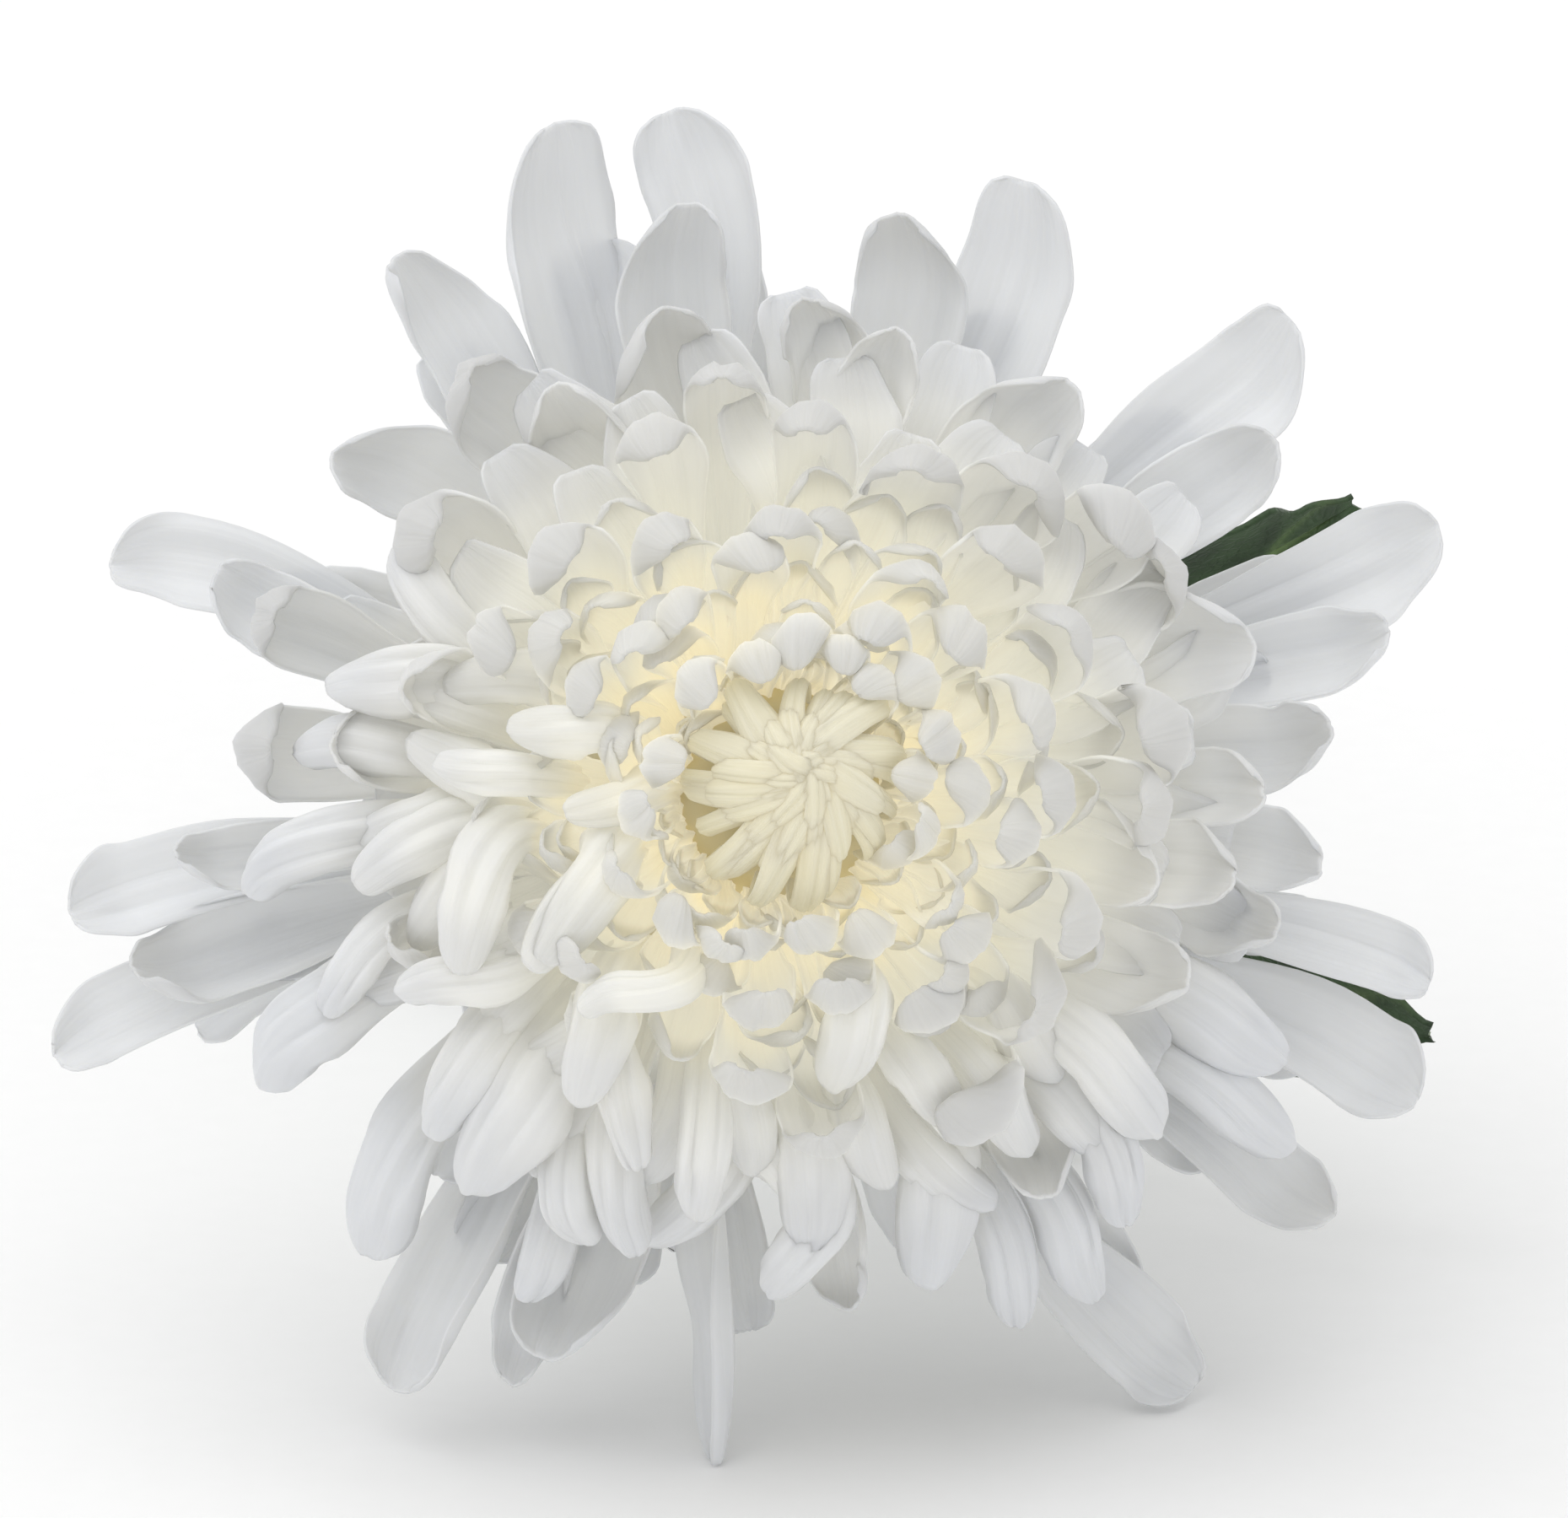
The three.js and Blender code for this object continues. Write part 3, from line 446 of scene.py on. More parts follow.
    # a slow ripple that grows outwards, and teeth on the blunt end
    rolling_at = add(tree, COMBINE, {0: v, 1: u, 2: read["phase"]})
    rolling = add(tree, NOISE, {"Vector": rolling_at, "Scale": 1.9, "Detail": 1.5})
    centred = add(tree, MATH, {0: rolling, 1: 0.5}, "SUBTRACT")
    ripple = product(centred, u, blunt, given["Ripple"])
    rise = add(tree, MATH, {0: rise, 1: ripple}, "ADD")
    late = add(tree, MATH, {0: in_tip, 1: 4.0}, "POWER")
    teeth = product(ridges, late, given["Teeth"])

    spot = moved(middle, (side, sideways), (facing, rise), (ahead, teeth))
    shaped = add(tree, "GeometryNodeSetPosition", {"Geometry": straps, "Position": spot})
    smooth = add(tree, "GeometryNodeSetShadeSmooth", {"Geometry": shaped})
    dressed = add(tree, "GeometryNodeSetMaterial", {"Geometry": smooth, "Material": given["Material"]})
    add(tree, "NodeGroupOutput", {0: dressed})
    return tree


def plain_mesh(piece):
    """A plain mesh of the piece with its modifiers applied."""
    depsgraph = bpy.context.evaluated_depsgraph_get()
    return bpy.data.meshes.new_from_object(piece.evaluated_get(depsgraph), depsgraph=depsgraph)


def run_tree(piece, tree, **sizes):
    """A modifier that runs the tree on the piece with these inputs, where _ stands for a space."""
    maker = piece.modifiers.new("shape", "NODES")
    maker.node_group = tree
    names = {s.name: s.identifier for s in tree.interface.items_tree if s.in_out == "INPUT"}
    for label, value in sizes.items():
        maker[names[label.replace("_", " ")]] = value


def thicken(piece, thickness):
    """Gives a sheet its thickness, half of it to each side."""
    shell = piece.modifiers.new("shell", "SOLIDIFY")
    shell.thickness = thickness
    shell.offset = 0.0


KEPT_NUMBERS = ("curl", "glow", "young")


def grow(piece, tree, material, thickness, **sizes):
    """Runs the tree on the piece, gives its sheets their thickness, and keeps the plain mesh."""
    run_tree(piece, tree, Material=material, **sizes)
    thicken(piece, thickness)
    made = plain_mesh(piece)
    piece.modifiers.clear()
    for key in (*SEED_VECTORS, *SEED_NUMBERS):
        if key in made.attributes and key not in KEPT_NUMBERS:
            made.attributes.remove(made.attributes[key])
    old = piece.data
    piece.data = made
    bpy.data.meshes.remove(old)
    made.name = piece.name
    rest_on_table(made)
    return piece


# below this height a sheet is pressed flatter and flatter instead of sinking into the table, in metres
PRESSED_FROM = 0.0006


def rest_on_table(mesh):
    """What would sink into the table is pressed against it, softly, so that a sheet keeps two faces."""
    spots = np.empty(len(mesh.vertices) * 3, np.float32)
    mesh.vertices.foreach_get("co", spots)
    low = spots[2::3] < PRESSED_FROM
    spots[2::3][low] = PRESSED_FROM * np.exp(spots[2::3][low] / PRESSED_FROM - 1)
    mesh.vertices.foreach_set("co", spots)
    mesh.update()


# Petal: a soft, faintly waxy sheet of water-filled cells. Light passes a little way in, so its folds are
# pale, its face has no hard gloss, and the crowded lower parts near the heart turn from cream to ochre. A
# faint painted glow stands in for the light that comes through the neighbouring florets, and the hooded tips
# carry painted shade.
petal, tree = new_material("fresh_chrysanthemum_petal")
# its faint painted glow, an emission that stands in for light through the florets, lights nothing by itself,
# so no light rays are sent to look for it
petal.cycles.emission_sampling = "NONE"
where = add(tree, COORDINATES, out=3)
HEART_POINT = (-1.5, 0, 16)
depth = add(tree, VECTOR, {0: where, 1: tuple(in_bloom(*HEART_POINT))}, "DISTANCE", out=1)
mottle = add(tree, NOISE, {"Vector": where, "Scale": 160.0, "Detail": 0.0})
shift = add(tree, RANGE, {0: mottle, 1: 0.3, 2: 0.7, 3: -0.003, 4: 0.003})
depth = add(tree, MATH, {0: depth, 1: shift}, "ADD")
outwards = add(tree, RANGE, {0: depth, 1: 0.011, 2: 0.05})
blend = add(tree, RAMP, {0: outwards})
set_stops(blend, (0, "#E3D8B0"), (1, "#DFE1E4"), (0.16, "#E7E1CC"), (0.36, "#E5E4DC"), (0.62, "#E3E3E1"))
along_strap, across_strap, phase_of, curl_of, painted_glow_share, young = (
    add(tree, HELD, out=2, attribute_name=key)
    for key in ("along", "across", "phase", "curl", "glow", "young"))
# the heart's own florets are still young and yellower
blend = add(tree, MIX, {0: young, 6: blend, 7: srgb("#E6DBB0")}, out=2, data_type="RGBA")
# painted shade: hooded tips are greyed towards their ends, more so further out, for the shade on the
# turned-over backs of the florets
hooded = add(tree, RANGE, {0: curl_of, 1: 0.3, 2: 1.7, 3: 0.0, 4: 0.85})
painted_tip_shade = add(tree, RANGE, {0: along_strap, 1: 0.6, 2: 0.92}, interpolation_type="SMOOTHSTEP")
tip_shade_outwards = add(tree, RANGE, {0: outwards, 1: 0.05, 2: 0.45, 3: 0.3, 4: 1.0})
for factor in (hooded, tip_shade_outwards):
    painted_tip_shade = add(tree, MATH, {0: painted_tip_shade, 1: factor}, "MULTIPLY")
coloured = add(tree, MIX, {0: painted_tip_shade, 6: blend, 7: srgb("#C7C7C6")}, out=2, data_type="RGBA")
vein_place = add(tree, COMBINE, {0: across_strap, 1: along_strap, 2: phase_of})
vein_place = add(tree, VECTOR, {0: vein_place, 1: (7.0, 0.9, 1.0)}, "MULTIPLY")
vein = add(tree, NOISE, {"Vector": vein_place, "Scale": 1.0, "Detail": 1.0, "Roughness": 0.6})
darker = add(tree, RANGE, {0: vein, 1: 0.3, 2: 0.55, 3: 0.975, 4: 1.0})
coloured = add(tree, MIX, {0: 1.0, 6: coloured, 7: darker}, out=2, data_type="RGBA", blend_type="MULTIPLY")
bump = add(tree, BUMP, {"Strength": 0.45, "Distance": 0.0003, "Height": vein})
dull = add(tree, RANGE, {0: mottle, 1: 0.3, 2: 0.7, 3: 0.5, 4: 0.62})
# painted glow: an emission that stands in for the light that has come through the neighbouring florets: most
# of it near the heart, where they are closest, and little in the hooded tips, which stand clear of the others
painted_glow_strength = add(tree, RANGE, {0: outwards, 3: 0.33, 4: 0.07})
clear_of = add(tree, RANGE, {
    0: along_strap, 1: 0.6, 2: 0.85, 3: 1.0, 4: 0.3}, interpolation_type="SMOOTHSTEP")
for factor in (clear_of, painted_glow_share):
    painted_glow_strength = add(tree, MATH, {0: painted_glow_strength, 1: factor}, "MULTIPLY")
add(tree, OUTPUT, {"Surface": add(tree, PRINCIPLED, {
    "Base Color": coloured, "Roughness": dull, "IOR": 1.4, "Specular IOR Level": 0.3, "Normal": bump,
    "Emission Color": srgb("#EFEDE2"), "Emission Strength": painted_glow_strength, "Subsurface Weight": 0.45,
    "Subsurface Radius": (1.0, 0.95, 0.8), "Subsurface Scale": 0.002, "Sheen Weight": 0.08,
    "Sheen Roughness": 0.5})})

# the florets of the head's back, under the outer ones and on the neck; depths in millimetres
BACK_REACH = 57
BACK_SHARE = 0.82
BACK_DEPTH = -17
BACK_ROOT = (12, -21)
LOW_WIDTH = 7.5
UNDER_RINGS = (
    {"count": 12, "reach": 43, "root": (9.5, -22.2), "depth": -31},
    {"count": 9, "reach": 36, "root": (7, -24), "depth": -42},
)
# the crowded lower florets on the head's flank, which close the view to the receptacle from the side; they
# are shorter at the low side, where they would fill the gaps in the outline
FLANK_RINGS = (
    {"count": 24, "reach": 37.5, "root": (19.5, -3), "depth": 0, "turn": 0.0},
    {"count": 22, "reach": 39, "root": (19.5, -8), "depth": -8, "turn": 0.5},
    {"count": 20, "reach": 39, "root": (18.5, -13), "depth": -17, "turn": 0.2},
)
LOW_SIDE = (200, 296)
LOW_SHORTER = 3
# the heart is still half a bud: its florets rise from under the dome's rim, fold over, and lie with their
# backs outwards and their tips together a little right of the middle, each turned the same way round
HEART_MEETING = Vector((1.2, 1.4, 0))
HEART_NUMBERS = ("count", "root", "fold", "over", "tip", "width", "turn")
HEART_TIERS = (
    (20, (8.4, 27.0), (11.2, 32.0), 36.0, (3.0, 36.4), 3.0, 4),
    (15, (5.8, 29.5), (8.2, 34.4), 37.6, (2.1, 37.2), 2.5, 15),
    (9, (3.0, 31.0), (5.2, 36.0), 38.4, (1.0, 37.9), 2.1, 40),
)
HEART_CUP = math.radians(50)
# how far each turns round the middle (radians), less the further from it (mm) it ends
SWIRL, SWIRL_WITHIN = 1.125, 3.5
# the smaller florets that fill the room between the inner ones, in the spiral order of the bud, the narrow
# claws of the florets round the heart, seen down between their hoods, and low fingers further out
GOLDEN_ANGLE = 137.508
FILLING, CLAWS, FINGERS = 84, 30, 46
CLAW_REACH, CLAW_WIDTH, CLAW_ROOT = 12.2, 2.9, (8.5, 19)
FINGER_WIDTH, FINGER_SIDE = 6.2, (150, 320)
# a floret that reaches this far counts as an outer one
OUTER_REACH = 40
outer, back, inner, filling, heart = [], [], [], [], []
for row in SEEN_FLORETS:
    (outer if row[1] >= OUTER_REACH else inner).append(floret(*row))
for azimuth, reach, width, _, *rest in SEEN_FLORETS:
    if reach > BACK_REACH:
        azimuth += chance.uniform(-1.5, 1.5)
        reach *= BACK_SHARE + chance.uniform(-0.04, 0.04)
        back.append(floret(azimuth, reach, width * 0.8, "back", rest[0], 0, BACK_DEPTH, BACK_ROOT))
for ring in UNDER_RINGS:
    for i in range(ring["count"]):
        azimuth = 360 * (i + 0.5) / ring["count"] + chance.uniform(-4, 4)
        reach = ring["reach"] + chance.uniform(-3, 3)
        back.append(floret(azimuth, reach, LOW_WIDTH, "flat", 0, 0, ring["depth"], ring["root"]))
for ring in FLANK_RINGS:
    for i in range(ring["count"]):
        azimuth = 360 * (i + ring["turn"]) / ring["count"] + chance.uniform(-4, 4)
        reach = ring["reach"] + chance.uniform(-3, 2)
        reach -= LOW_SHORTER if LOW_SIDE[0] < azimuth < LOW_SIDE[1] else 0
        kind = "flat" if chance.random() < 0.6 else "back"
        back.append(floret(azimuth, reach, LOW_WIDTH, kind, chance.uniform(-2, 2), chance.uniform(-14, 14),
                           ring["depth"] - along_table(TIP_DEPTH, reach), ring["root"]))


def near(turn, radius, w):
    """A point of the heart at this angle and radius, within half a millimetre of the depth."""
    return outward(turn) * radius + FORWARD * (w + chance.uniform(-0.5, 0.5))


for row in HEART_TIERS:
    tier = dict(zip(HEART_NUMBERS, row))
    for i in range(tier["count"]):
        turn = math.radians(tier["turn"] + 360 * i / tier["count"] + chance.uniform(-10, 10))
        size = 1 + chance.uniform(-0.2, 0.14)
        swirl = SWIRL + chance.uniform(-0.45, 0.45)
        ends_at = tier["tip"][0] * chance.uniform(0.6, 1.4)
        over_at = ends_at + (tier["fold"][0] * size - ends_at) * 0.45
        swirling = swirl * math.exp(-ends_at / SWIRL_WITHIN)
        rim = HEART_MEETING + near(turn + swirling, ends_at, tier["tip"][1])
        bend = HEART_MEETING * 0.5 + near(turn + swirling * 0.4, over_at, tier["over"])
        root = near(turn, *tier["root"])
        lift = near(turn, tier["fold"][0] * 1.28 * size, tier["fold"][1])
        heart.append(strap_numbers(
            outward(turn), root, lift, bend, rim, tier["width"] * size, HEART_CUP, 2.2, curl=0.5, point=0.16,
            groove=0.08, glow=0.44, young=0.6, full=0.3, roll=math.radians(24 + chance.uniform(-20, 20))))
for i in range(FILLING):
    reach = 12.5 + 19 * i / FILLING + chance.uniform(-1.5, 1.5)
    width = 3.4 + 0.08 * reach + chance.uniform(-0.5, 0.7)
    azimuth = (GOLDEN_ANGLE * i + chance.uniform(-10, 10)) % 360
    kind = "hood" if chance.random() < 0.3 else "fill"
    filling.append(floret(azimuth, reach, width, kind, chance.uniform(-1.5, 1.5), chance.uniform(-18, 18),
                          chance.uniform(-6, -2.5)))
for i in range(CLAWS):
    azimuth = 360 * i / CLAWS + chance.uniform(-4, 4)
    filling.append(floret(azimuth, CLAW_REACH + chance.uniform(-0.8, 1.4), CLAW_WIDTH, "claw",
                          chance.uniform(-0.6, 0.6), chance.uniform(-15, 15), chance.uniform(-6.5, -2.5),
                          CLAW_ROOT))
for i in range(FINGERS):
    azimuth = (GOLDEN_ANGLE * i + 20) % 360
    kind, depth = ("arch", -3.5) if FINGER_SIDE[0] < azimuth < FINGER_SIDE[1] else ("flat", -6.5)
    filling.append(floret(azimuth, 34 + 13 * i / FINGERS, FINGER_WIDTH, kind, chance.uniform(-2, 3),
                          chance.uniform(-10, 10), depth + chance.uniform(-1.2, 1.2)))

PETAL_THICKNESS = 0.00032
strap = strap_tree("ray_floret_strap")
for name, florets, seed, sizes in (
    ("florets_outer", outer, 3, {"Teeth": 0.0}),
    ("florets_back", back, 4, {"Rows": 22, "Columns": 11}),
    ("florets_inner", inner, 5, {"Ripple": 0.0018, "Teeth": 0.0}),
    ("florets_filling", filling, 6, {"Rows": 22, "Columns": 9, "Ripple": 0.0012, "Teeth": 0.0}),
    ("florets_heart", heart, 7, {"Rows": 27, "Columns": 11, "Ripple": 0.0012, "Teeth": 0.0}),
):
    piece = grow(floret_seeds(name, florets, seed), strap, petal, PETAL_THICKNESS, **sizes)
    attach(piece, "root")
    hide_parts("bloom")

# ---- Receptacle ----
# The swollen end of the stalk inside the head, with the crowded floret claws on it. Only its ochre shade
# shows, deep between the florets. It is one turned dome.
CORE_PROFILE = (
    (0, -26), (10, -26), (14, -22.5), (18.5, -17), (21.5, -10), (22.3, -3), (21.2, 4), (16.8, 12), (11, 18),
    (8, 25), (5, 29), (0, 30.5),
)


def turned_body(name, profile, segments, material):
    """A closed body turned round the bloom's axis from pairs (radius, depth) that start and end on it."""
    spots, faces = [], []
    for radius, w in profile[1:-1]:
        for k in range(segments):
            spots.append(in_bloom(*(axis_point(w) + outward(2 * math.pi * k / segments) * radius)))
    rows = len(profile) - 2
    for i in range(rows - 1):
        for k in range(segments):
            following = (k + 1) % segments
            faces.append((i * segments + k, i * segments + following,
                          (i + 1) * segments + following, (i + 1) * segments + k))
    for end, row in ((profile[0], 0), (profile[-1], rows - 1)):
        spots.append(in_bloom(*axis_point(end[1])))
        pole = len(spots) - 1
        for k in range(segments):
            pair = (row * segments + k, row * segments + (k + 1) % segments)
            faces.append((pole, *reversed(pair)) if row == 0 else (pole, *pair))
    mesh = bpy.data.meshes.new(name)
    mesh.from_pydata(spots, [], faces)
    mesh.shade_smooth()
    mesh.materials.append(material)
    return put_in_scene(name, mesh)


core = turned_body("receptacle_dome", CORE_PROFILE, 48, petal)
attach(core, "root")
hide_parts("bloom")

# ---- Involucre ----
# The green cup that holds the head, covered by three rows of small overlapping bracts. Each bract is a
# leathery scale with a thin, pale, dry margin.
NECK_DEPTH = -35.0
CUP_PROFILE = (
    (0, -36.4), (3.4, -36.4), (4.1, -35.3), (6.5, -33), (10.5, -30.5), (12.3, -28), (12.0, -26.4), (0, -26.4),
)
bract_skin, tree = new_material("green_bract")
where = add(tree, COORDINATES, out=3)
mottle = add(tree, NOISE, {"Vector": where, "Scale": 700.0, "Detail": 3.0})
greens = add(tree, RAMP, {0: mottle})
set_stops(greens, (0, "#4B6337"), (1, "#788D58"))
across_bract = add(tree, HELD, out=2, attribute_name="across")
edge = add(tree, MATH, {0: across_bract}, "ABSOLUTE")
edge = add(tree, RANGE, {0: edge, 1: 0.62, 2: 0.95}, interpolation_type="SMOOTHSTEP")
tinted = add(tree, MIX, {0: edge, 6: greens, 7: srgb("#B5AE84")}, out=2, data_type="RGBA")
bump = add(tree, BUMP, {"Strength": 0.4, "Distance": 0.0001, "Height": mottle})
add(tree, OUTPUT, {"Surface": add(tree, PRINCIPLED, {
    "Base Color": tinted, "Roughness": 0.62, "IOR": 1.42, "Normal": bump, "Subsurface Weight": 0.08,
    "Subsurface Scale": 0.001, "Sheen Weight": 0.2})})

cup = turned_body("involucre_cup", CUP_PROFILE, 40, bract_skin)
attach(cup, "root")
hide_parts("involucre")

BRACT_ROWS = (
    {"count": 13, "root": 8.5, "root_depth": -30.6, "tip": 14.6, "tip_depth": -25.9, "width": 5.2},
    {"count": 11, "root": 6.0, "root_depth": -32.6, "tip": 13.4, "tip_depth": -28.6, "width": 5.4},
    {"count": 8, "root": 4.2, "root_depth": -34.2, "tip": 10.8, "tip_depth": -31.4, "width": 5.0},
)
BRACT_CUP, BRACT_CURL, BRACT_TIP = 0.6, 0.35, 1.6
BRACT_LIFT = FORWARD * -1.1
bracts = []
for level, row in enumerate(BRACT_ROWS):
    for i in range(row["count"]):
        out = outward(2 * math.pi * (i + 0.5 * level) / row["count"] + chance.uniform(-0.06, 0.06))
        root = axis_point(row["root_depth"]) + out * row["root"]
        tip = axis_point(row["tip_depth"]) + out * (row["tip"] + chance.uniform(-0.4, 0.4))
        bracts.append(strap_numbers(
            out, root, root.lerp(tip, 0.33) + BRACT_LIFT, root.lerp(tip, 0.7) + BRACT_LIFT,
            tip - (tip - root).normalized() * 1.2, row["width"], BRACT_CUP, BRACT_TIP, curl=BRACT_CURL,
            roll=0.0, point=0.3, groove=0.02, half_width=row["width"] / 2 * MM))
BRACT_THICKNESS = 0.0005
scales = grow(floret_seeds("involucre_bracts", bracts, 11), strap, bract_skin, BRACT_THICKNESS,
              Rows=15, Columns=8, Ripple=0.0006, Teeth=-0.0003)
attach(scales, "root")
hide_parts("involucre")

# ---- Stem ----
# A firm, juicy flower stalk with low lengthwise ribs, cut off slantwise. It leaves the cup along the
# bloom's axis and sinks to the table at its cut end.
STEM_RADIUS = 3.3
# in CAD the stem stands this far off the cup, in mm
GAP = 0.35
neck = in_bloom(*axis_point(NECK_DEPTH - GAP)) / MM
STEM_STOPS = (
    neck,
    in_bloom(*axis_point(NECK_DEPTH - 30)) / MM,
    Vector((neck.x - 6, BLOOM_CENTRE.y + 112, 29)),
    Vector((neck.x - 7, BLOOM_CENTRE.y + 170, 13.5)),
    Vector((neck.x - 4, BLOOM_CENTRE.y + 226, STEM_RADIUS - 1.4)),
)


def stem_points(count):
    """Points on the smooth centripetal curve through the stops, count in each stretch, in millimetres."""
    stops = [STEM_STOPS[0] * 2 - STEM_STOPS[1], *STEM_STOPS, STEM_STOPS[-1] * 2 - STEM_STOPS[-2]]
    points = []
    for i in range(1, len(stops) - 2):
        four = stops[i - 1:i + 3]
        knots = [0.0]
        for a, b in zip(four, four[1:]):
            knots.append(knots[-1] + math.sqrt((b - a).length))
        for step in range(count):
            t = knots[1] + (knots[2] - knots[1]) * step / count
            level = four
            for pairs in (((0, 1), (1, 2), (2, 3)), ((0, 2), (1, 3)), ((1, 2),)):
                level = [
                    level[j].lerp(level[j + 1], (t - knots[low]) / (knots[high] - knots[low]))
                    for j, (low, high) in enumerate(pairs)
                ]
            points.append(level[0])
    points.append(STEM_STOPS[-1].copy())
    return points


stem_line = stem_points(24)
stem_steps = [0.0]
for a, b in zip(stem_line, stem_line[1:]):
    stem_steps.append(stem_steps[-1] + (b - a).length)


def on_stem(share):
    """Place and direction at a share of the stem's length."""
    wanted = share * stem_steps[-1]
    i = min(max(int(np.searchsorted(stem_steps, wanted)), 1), len(stem_line) - 1)
    part = (wanted - stem_steps[i - 1]) / (stem_steps[i] - stem_steps[i - 1])
    return stem_line[i - 1].lerp(stem_line[i], part), (stem_line[i] - stem_line[i - 1]).normalized()


stalk_skin, tree = new_material("ribbed_green_stalk")
where = add(tree, COORDINATES, out=3)
stretched = add(tree, "ShaderNodeMapping", {"Vector": where, "Scale": (2200.0, 90.0, 2200.0)})
streaks = add(tree, NOISE, {"Vector": stretched, "Scale": 1.0, "Detail": 3.0})
blotch = add(tree, NOISE, {"Vector": where, "Scale": 60.0, "Detail": 2.0})
both = add(tree, MATH, {0: streaks, 1: 0.6, 2: blotch}, "MULTIPLY_ADD")
greens = add(tree, RAMP, {0: both})
set_stops(greens, (0.5, "#46603A"), (1.05, "#7C9460"))
bump = add(tree, BUMP, {"Strength": 0.7, "Distance": 0.00012, "Height": streaks})
add(tree, OUTPUT, {"Surface": add(tree, PRINCIPLED, {
    "Base Color": greens, "Roughness": 0.5, "IOR": 1.42, "Normal": bump, "Subsurface Weight": 0.1,
    "Subsurface Scale": 0.0012})})

# the fresh cut: a wet, pale green ring of fibres round a soft white pith
CUT_SLANT = math.radians(32)
cut_at = (STEM_STOPS[-1] - Vector((0, STEM_RADIUS * 1.4, 0))) * MM
cut_pith, tree = new_material("fresh_cut_pith")
where = add(tree, COORDINATES, out=3)
off = add(tree, VECTOR, {0: where, 1: tuple(cut_at)}, "DISTANCE", out=1)
grains = add(tree, NOISE, {"Vector": where, "Scale": 3000.0, "Detail": 2.0})
off = add(tree, MATH, {0: grains, 1: 0.0008, 2: off}, "MULTIPLY_ADD")
rings = add(tree, RANGE, {0: off, 2: 0.0045})
rings = add(tree, RAMP, {0: rings})
set_stops(rings, (0, "#DDE0C4"), (1, "#66804C"), (0.42, "#D2D8B4"), (0.58, "#A9BC84"), (0.72, "#B9C998"))
bump = add(tree, BUMP, {"Strength": 0.4, "Distance": 0.0001, "Height": grains})
add(tree, OUTPUT, {"Surface": add(tree, PRINCIPLED, {
    "Base Color": rings, "Roughness": 0.4, "IOR": 1.38, "Normal": bump, "Subsurface Weight": 0.2,
    "Subsurface Scale": 0.0008})})

ribbing = bpy.data.node_groups.new("ribbed_stalk", "GeometryNodeTree")
given = group_inputs(ribbing, (
    ("Path", "Geometry", None), ("Radius", "Float", STEM_RADIUS * MM), ("Ribs", "Float", 6.0),
    ("Rib height", "Float", 0.045), ("Material", "Material", None)), "Stalk")
hoop = add(ribbing, "GeometryNodeCurvePrimitiveCircle", {"Resolution": 48, "Radius": given["Radius"]})
at_ring = add(ribbing, "GeometryNodeInputPosition")
flat = add(ribbing, "ShaderNodeSeparateXYZ", {0: at_ring})
angle = add(ribbing, MATH, {0: flat.node.outputs[1], 1: flat}, "ARCTAN2")
angle = add(ribbing, MATH, {0: angle, 1: given["Ribs"]}, "MULTIPLY")
wave = add(ribbing, MATH, {0: angle}, "COSINE")
wave = add(ribbing, MATH, {0: wave, 1: 1.0}, "SUBTRACT")
wave = add(ribbing, MATH, {0: wave, 1: given["Rib height"]}, "MULTIPLY")
push = add(ribbing, VECTOR, {0: at_ring, 3: wave}, "SCALE")
hoop = add(ribbing, "GeometryNodeSetPosition", {"Geometry": hoop, "Offset": push})
tube = add(ribbing, "GeometryNodeCurveToMesh", {
    "Curve": given["Path"], "Profile Curve": hoop, "Fill Caps": True})
tube = add(ribbing, "GeometryNodeSetShadeSmooth", {"Geometry": tube})
tube = add(ribbing, "GeometryNodeSetMaterial", {"Geometry": tube, "Material": given["Material"]})
add(ribbing, "NodeGroupOutput", {0: tube})

path = bpy.data.curves.new("stem", "CURVE")
path.dimensions = "3D"
spline = path.splines.new("POLY")
spline.points.add(len(stem_line) - 1)
for point, spot in zip(spline.points, stem_line):
    point.co = (*(spot * MM), 1.0)
path_holder = put_in_scene("stem_path", path)
run_tree(path_holder, ribbing, Material=stalk_skin)
stalk_mesh = plain_mesh(path_holder)
bpy.data.objects.remove(path_holder)
stem = put_in_scene("stem_stalk", stalk_mesh)
shape = bmesh.new()
shape.from_mesh(stalk_mesh)
bmesh.ops.remove_doubles(shape, verts=shape.verts, dist=1e-6)
cut = bmesh.ops.bisect_plane(
    shape, geom=[*shape.verts, *shape.edges, *shape.faces], plane_co=cut_at,
    plane_no=Vector((0, math.cos(CUT_SLANT), math.sin(CUT_SLANT))), clear_outer=True)
cut_edges = [g for g in cut["geom_cut"] if isinstance(g, bmesh.types.BMEdge)]
for face in bmesh.ops.holes_fill(shape, edges=cut_edges, sides=0)["faces"]:
    face.material_index = 1
bmesh.ops.recalc_face_normals(shape, faces=shape.faces)
shape.to_mesh(stalk_mesh)
shape.free()
stalk_mesh.materials.append(cut_pith)
# the cut's edge is sharp, and the ribs are not
stalk_mesh.set_sharp_from_angle(angle=math.radians(50))
rest_on_table(stalk_mesh)
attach(stem, "root")
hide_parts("stem")

# ---- Leaves ----
# Dark green, leathery, lobed leaves on short stalks. The blade is quilted between a raised rib and side
# veins that run into the lobes; its margin has blunt teeth.
LEAF_OUTLINE = (
    (0, 0.024, 0), (0.12, 0.02, 0), (0.2, 0.045, 0), (0.26, 0.13, 0), (0.3, 0.2, 0.04), (0.36, 0.1, 0),
    (0.42, 0.24, 0.02), (0.47, 0.31, 0.06), (0.55, 0.14, 0), (0.62, 0.26, 0.02), (0.68, 0.3, 0.06),
    (0.76, 0.15, 0), (0.82, 0.2, 0.02), (0.88, 0.17, 0.05), (0.94, 0.09, 0.01), (1, 0.02, 0.01),
)
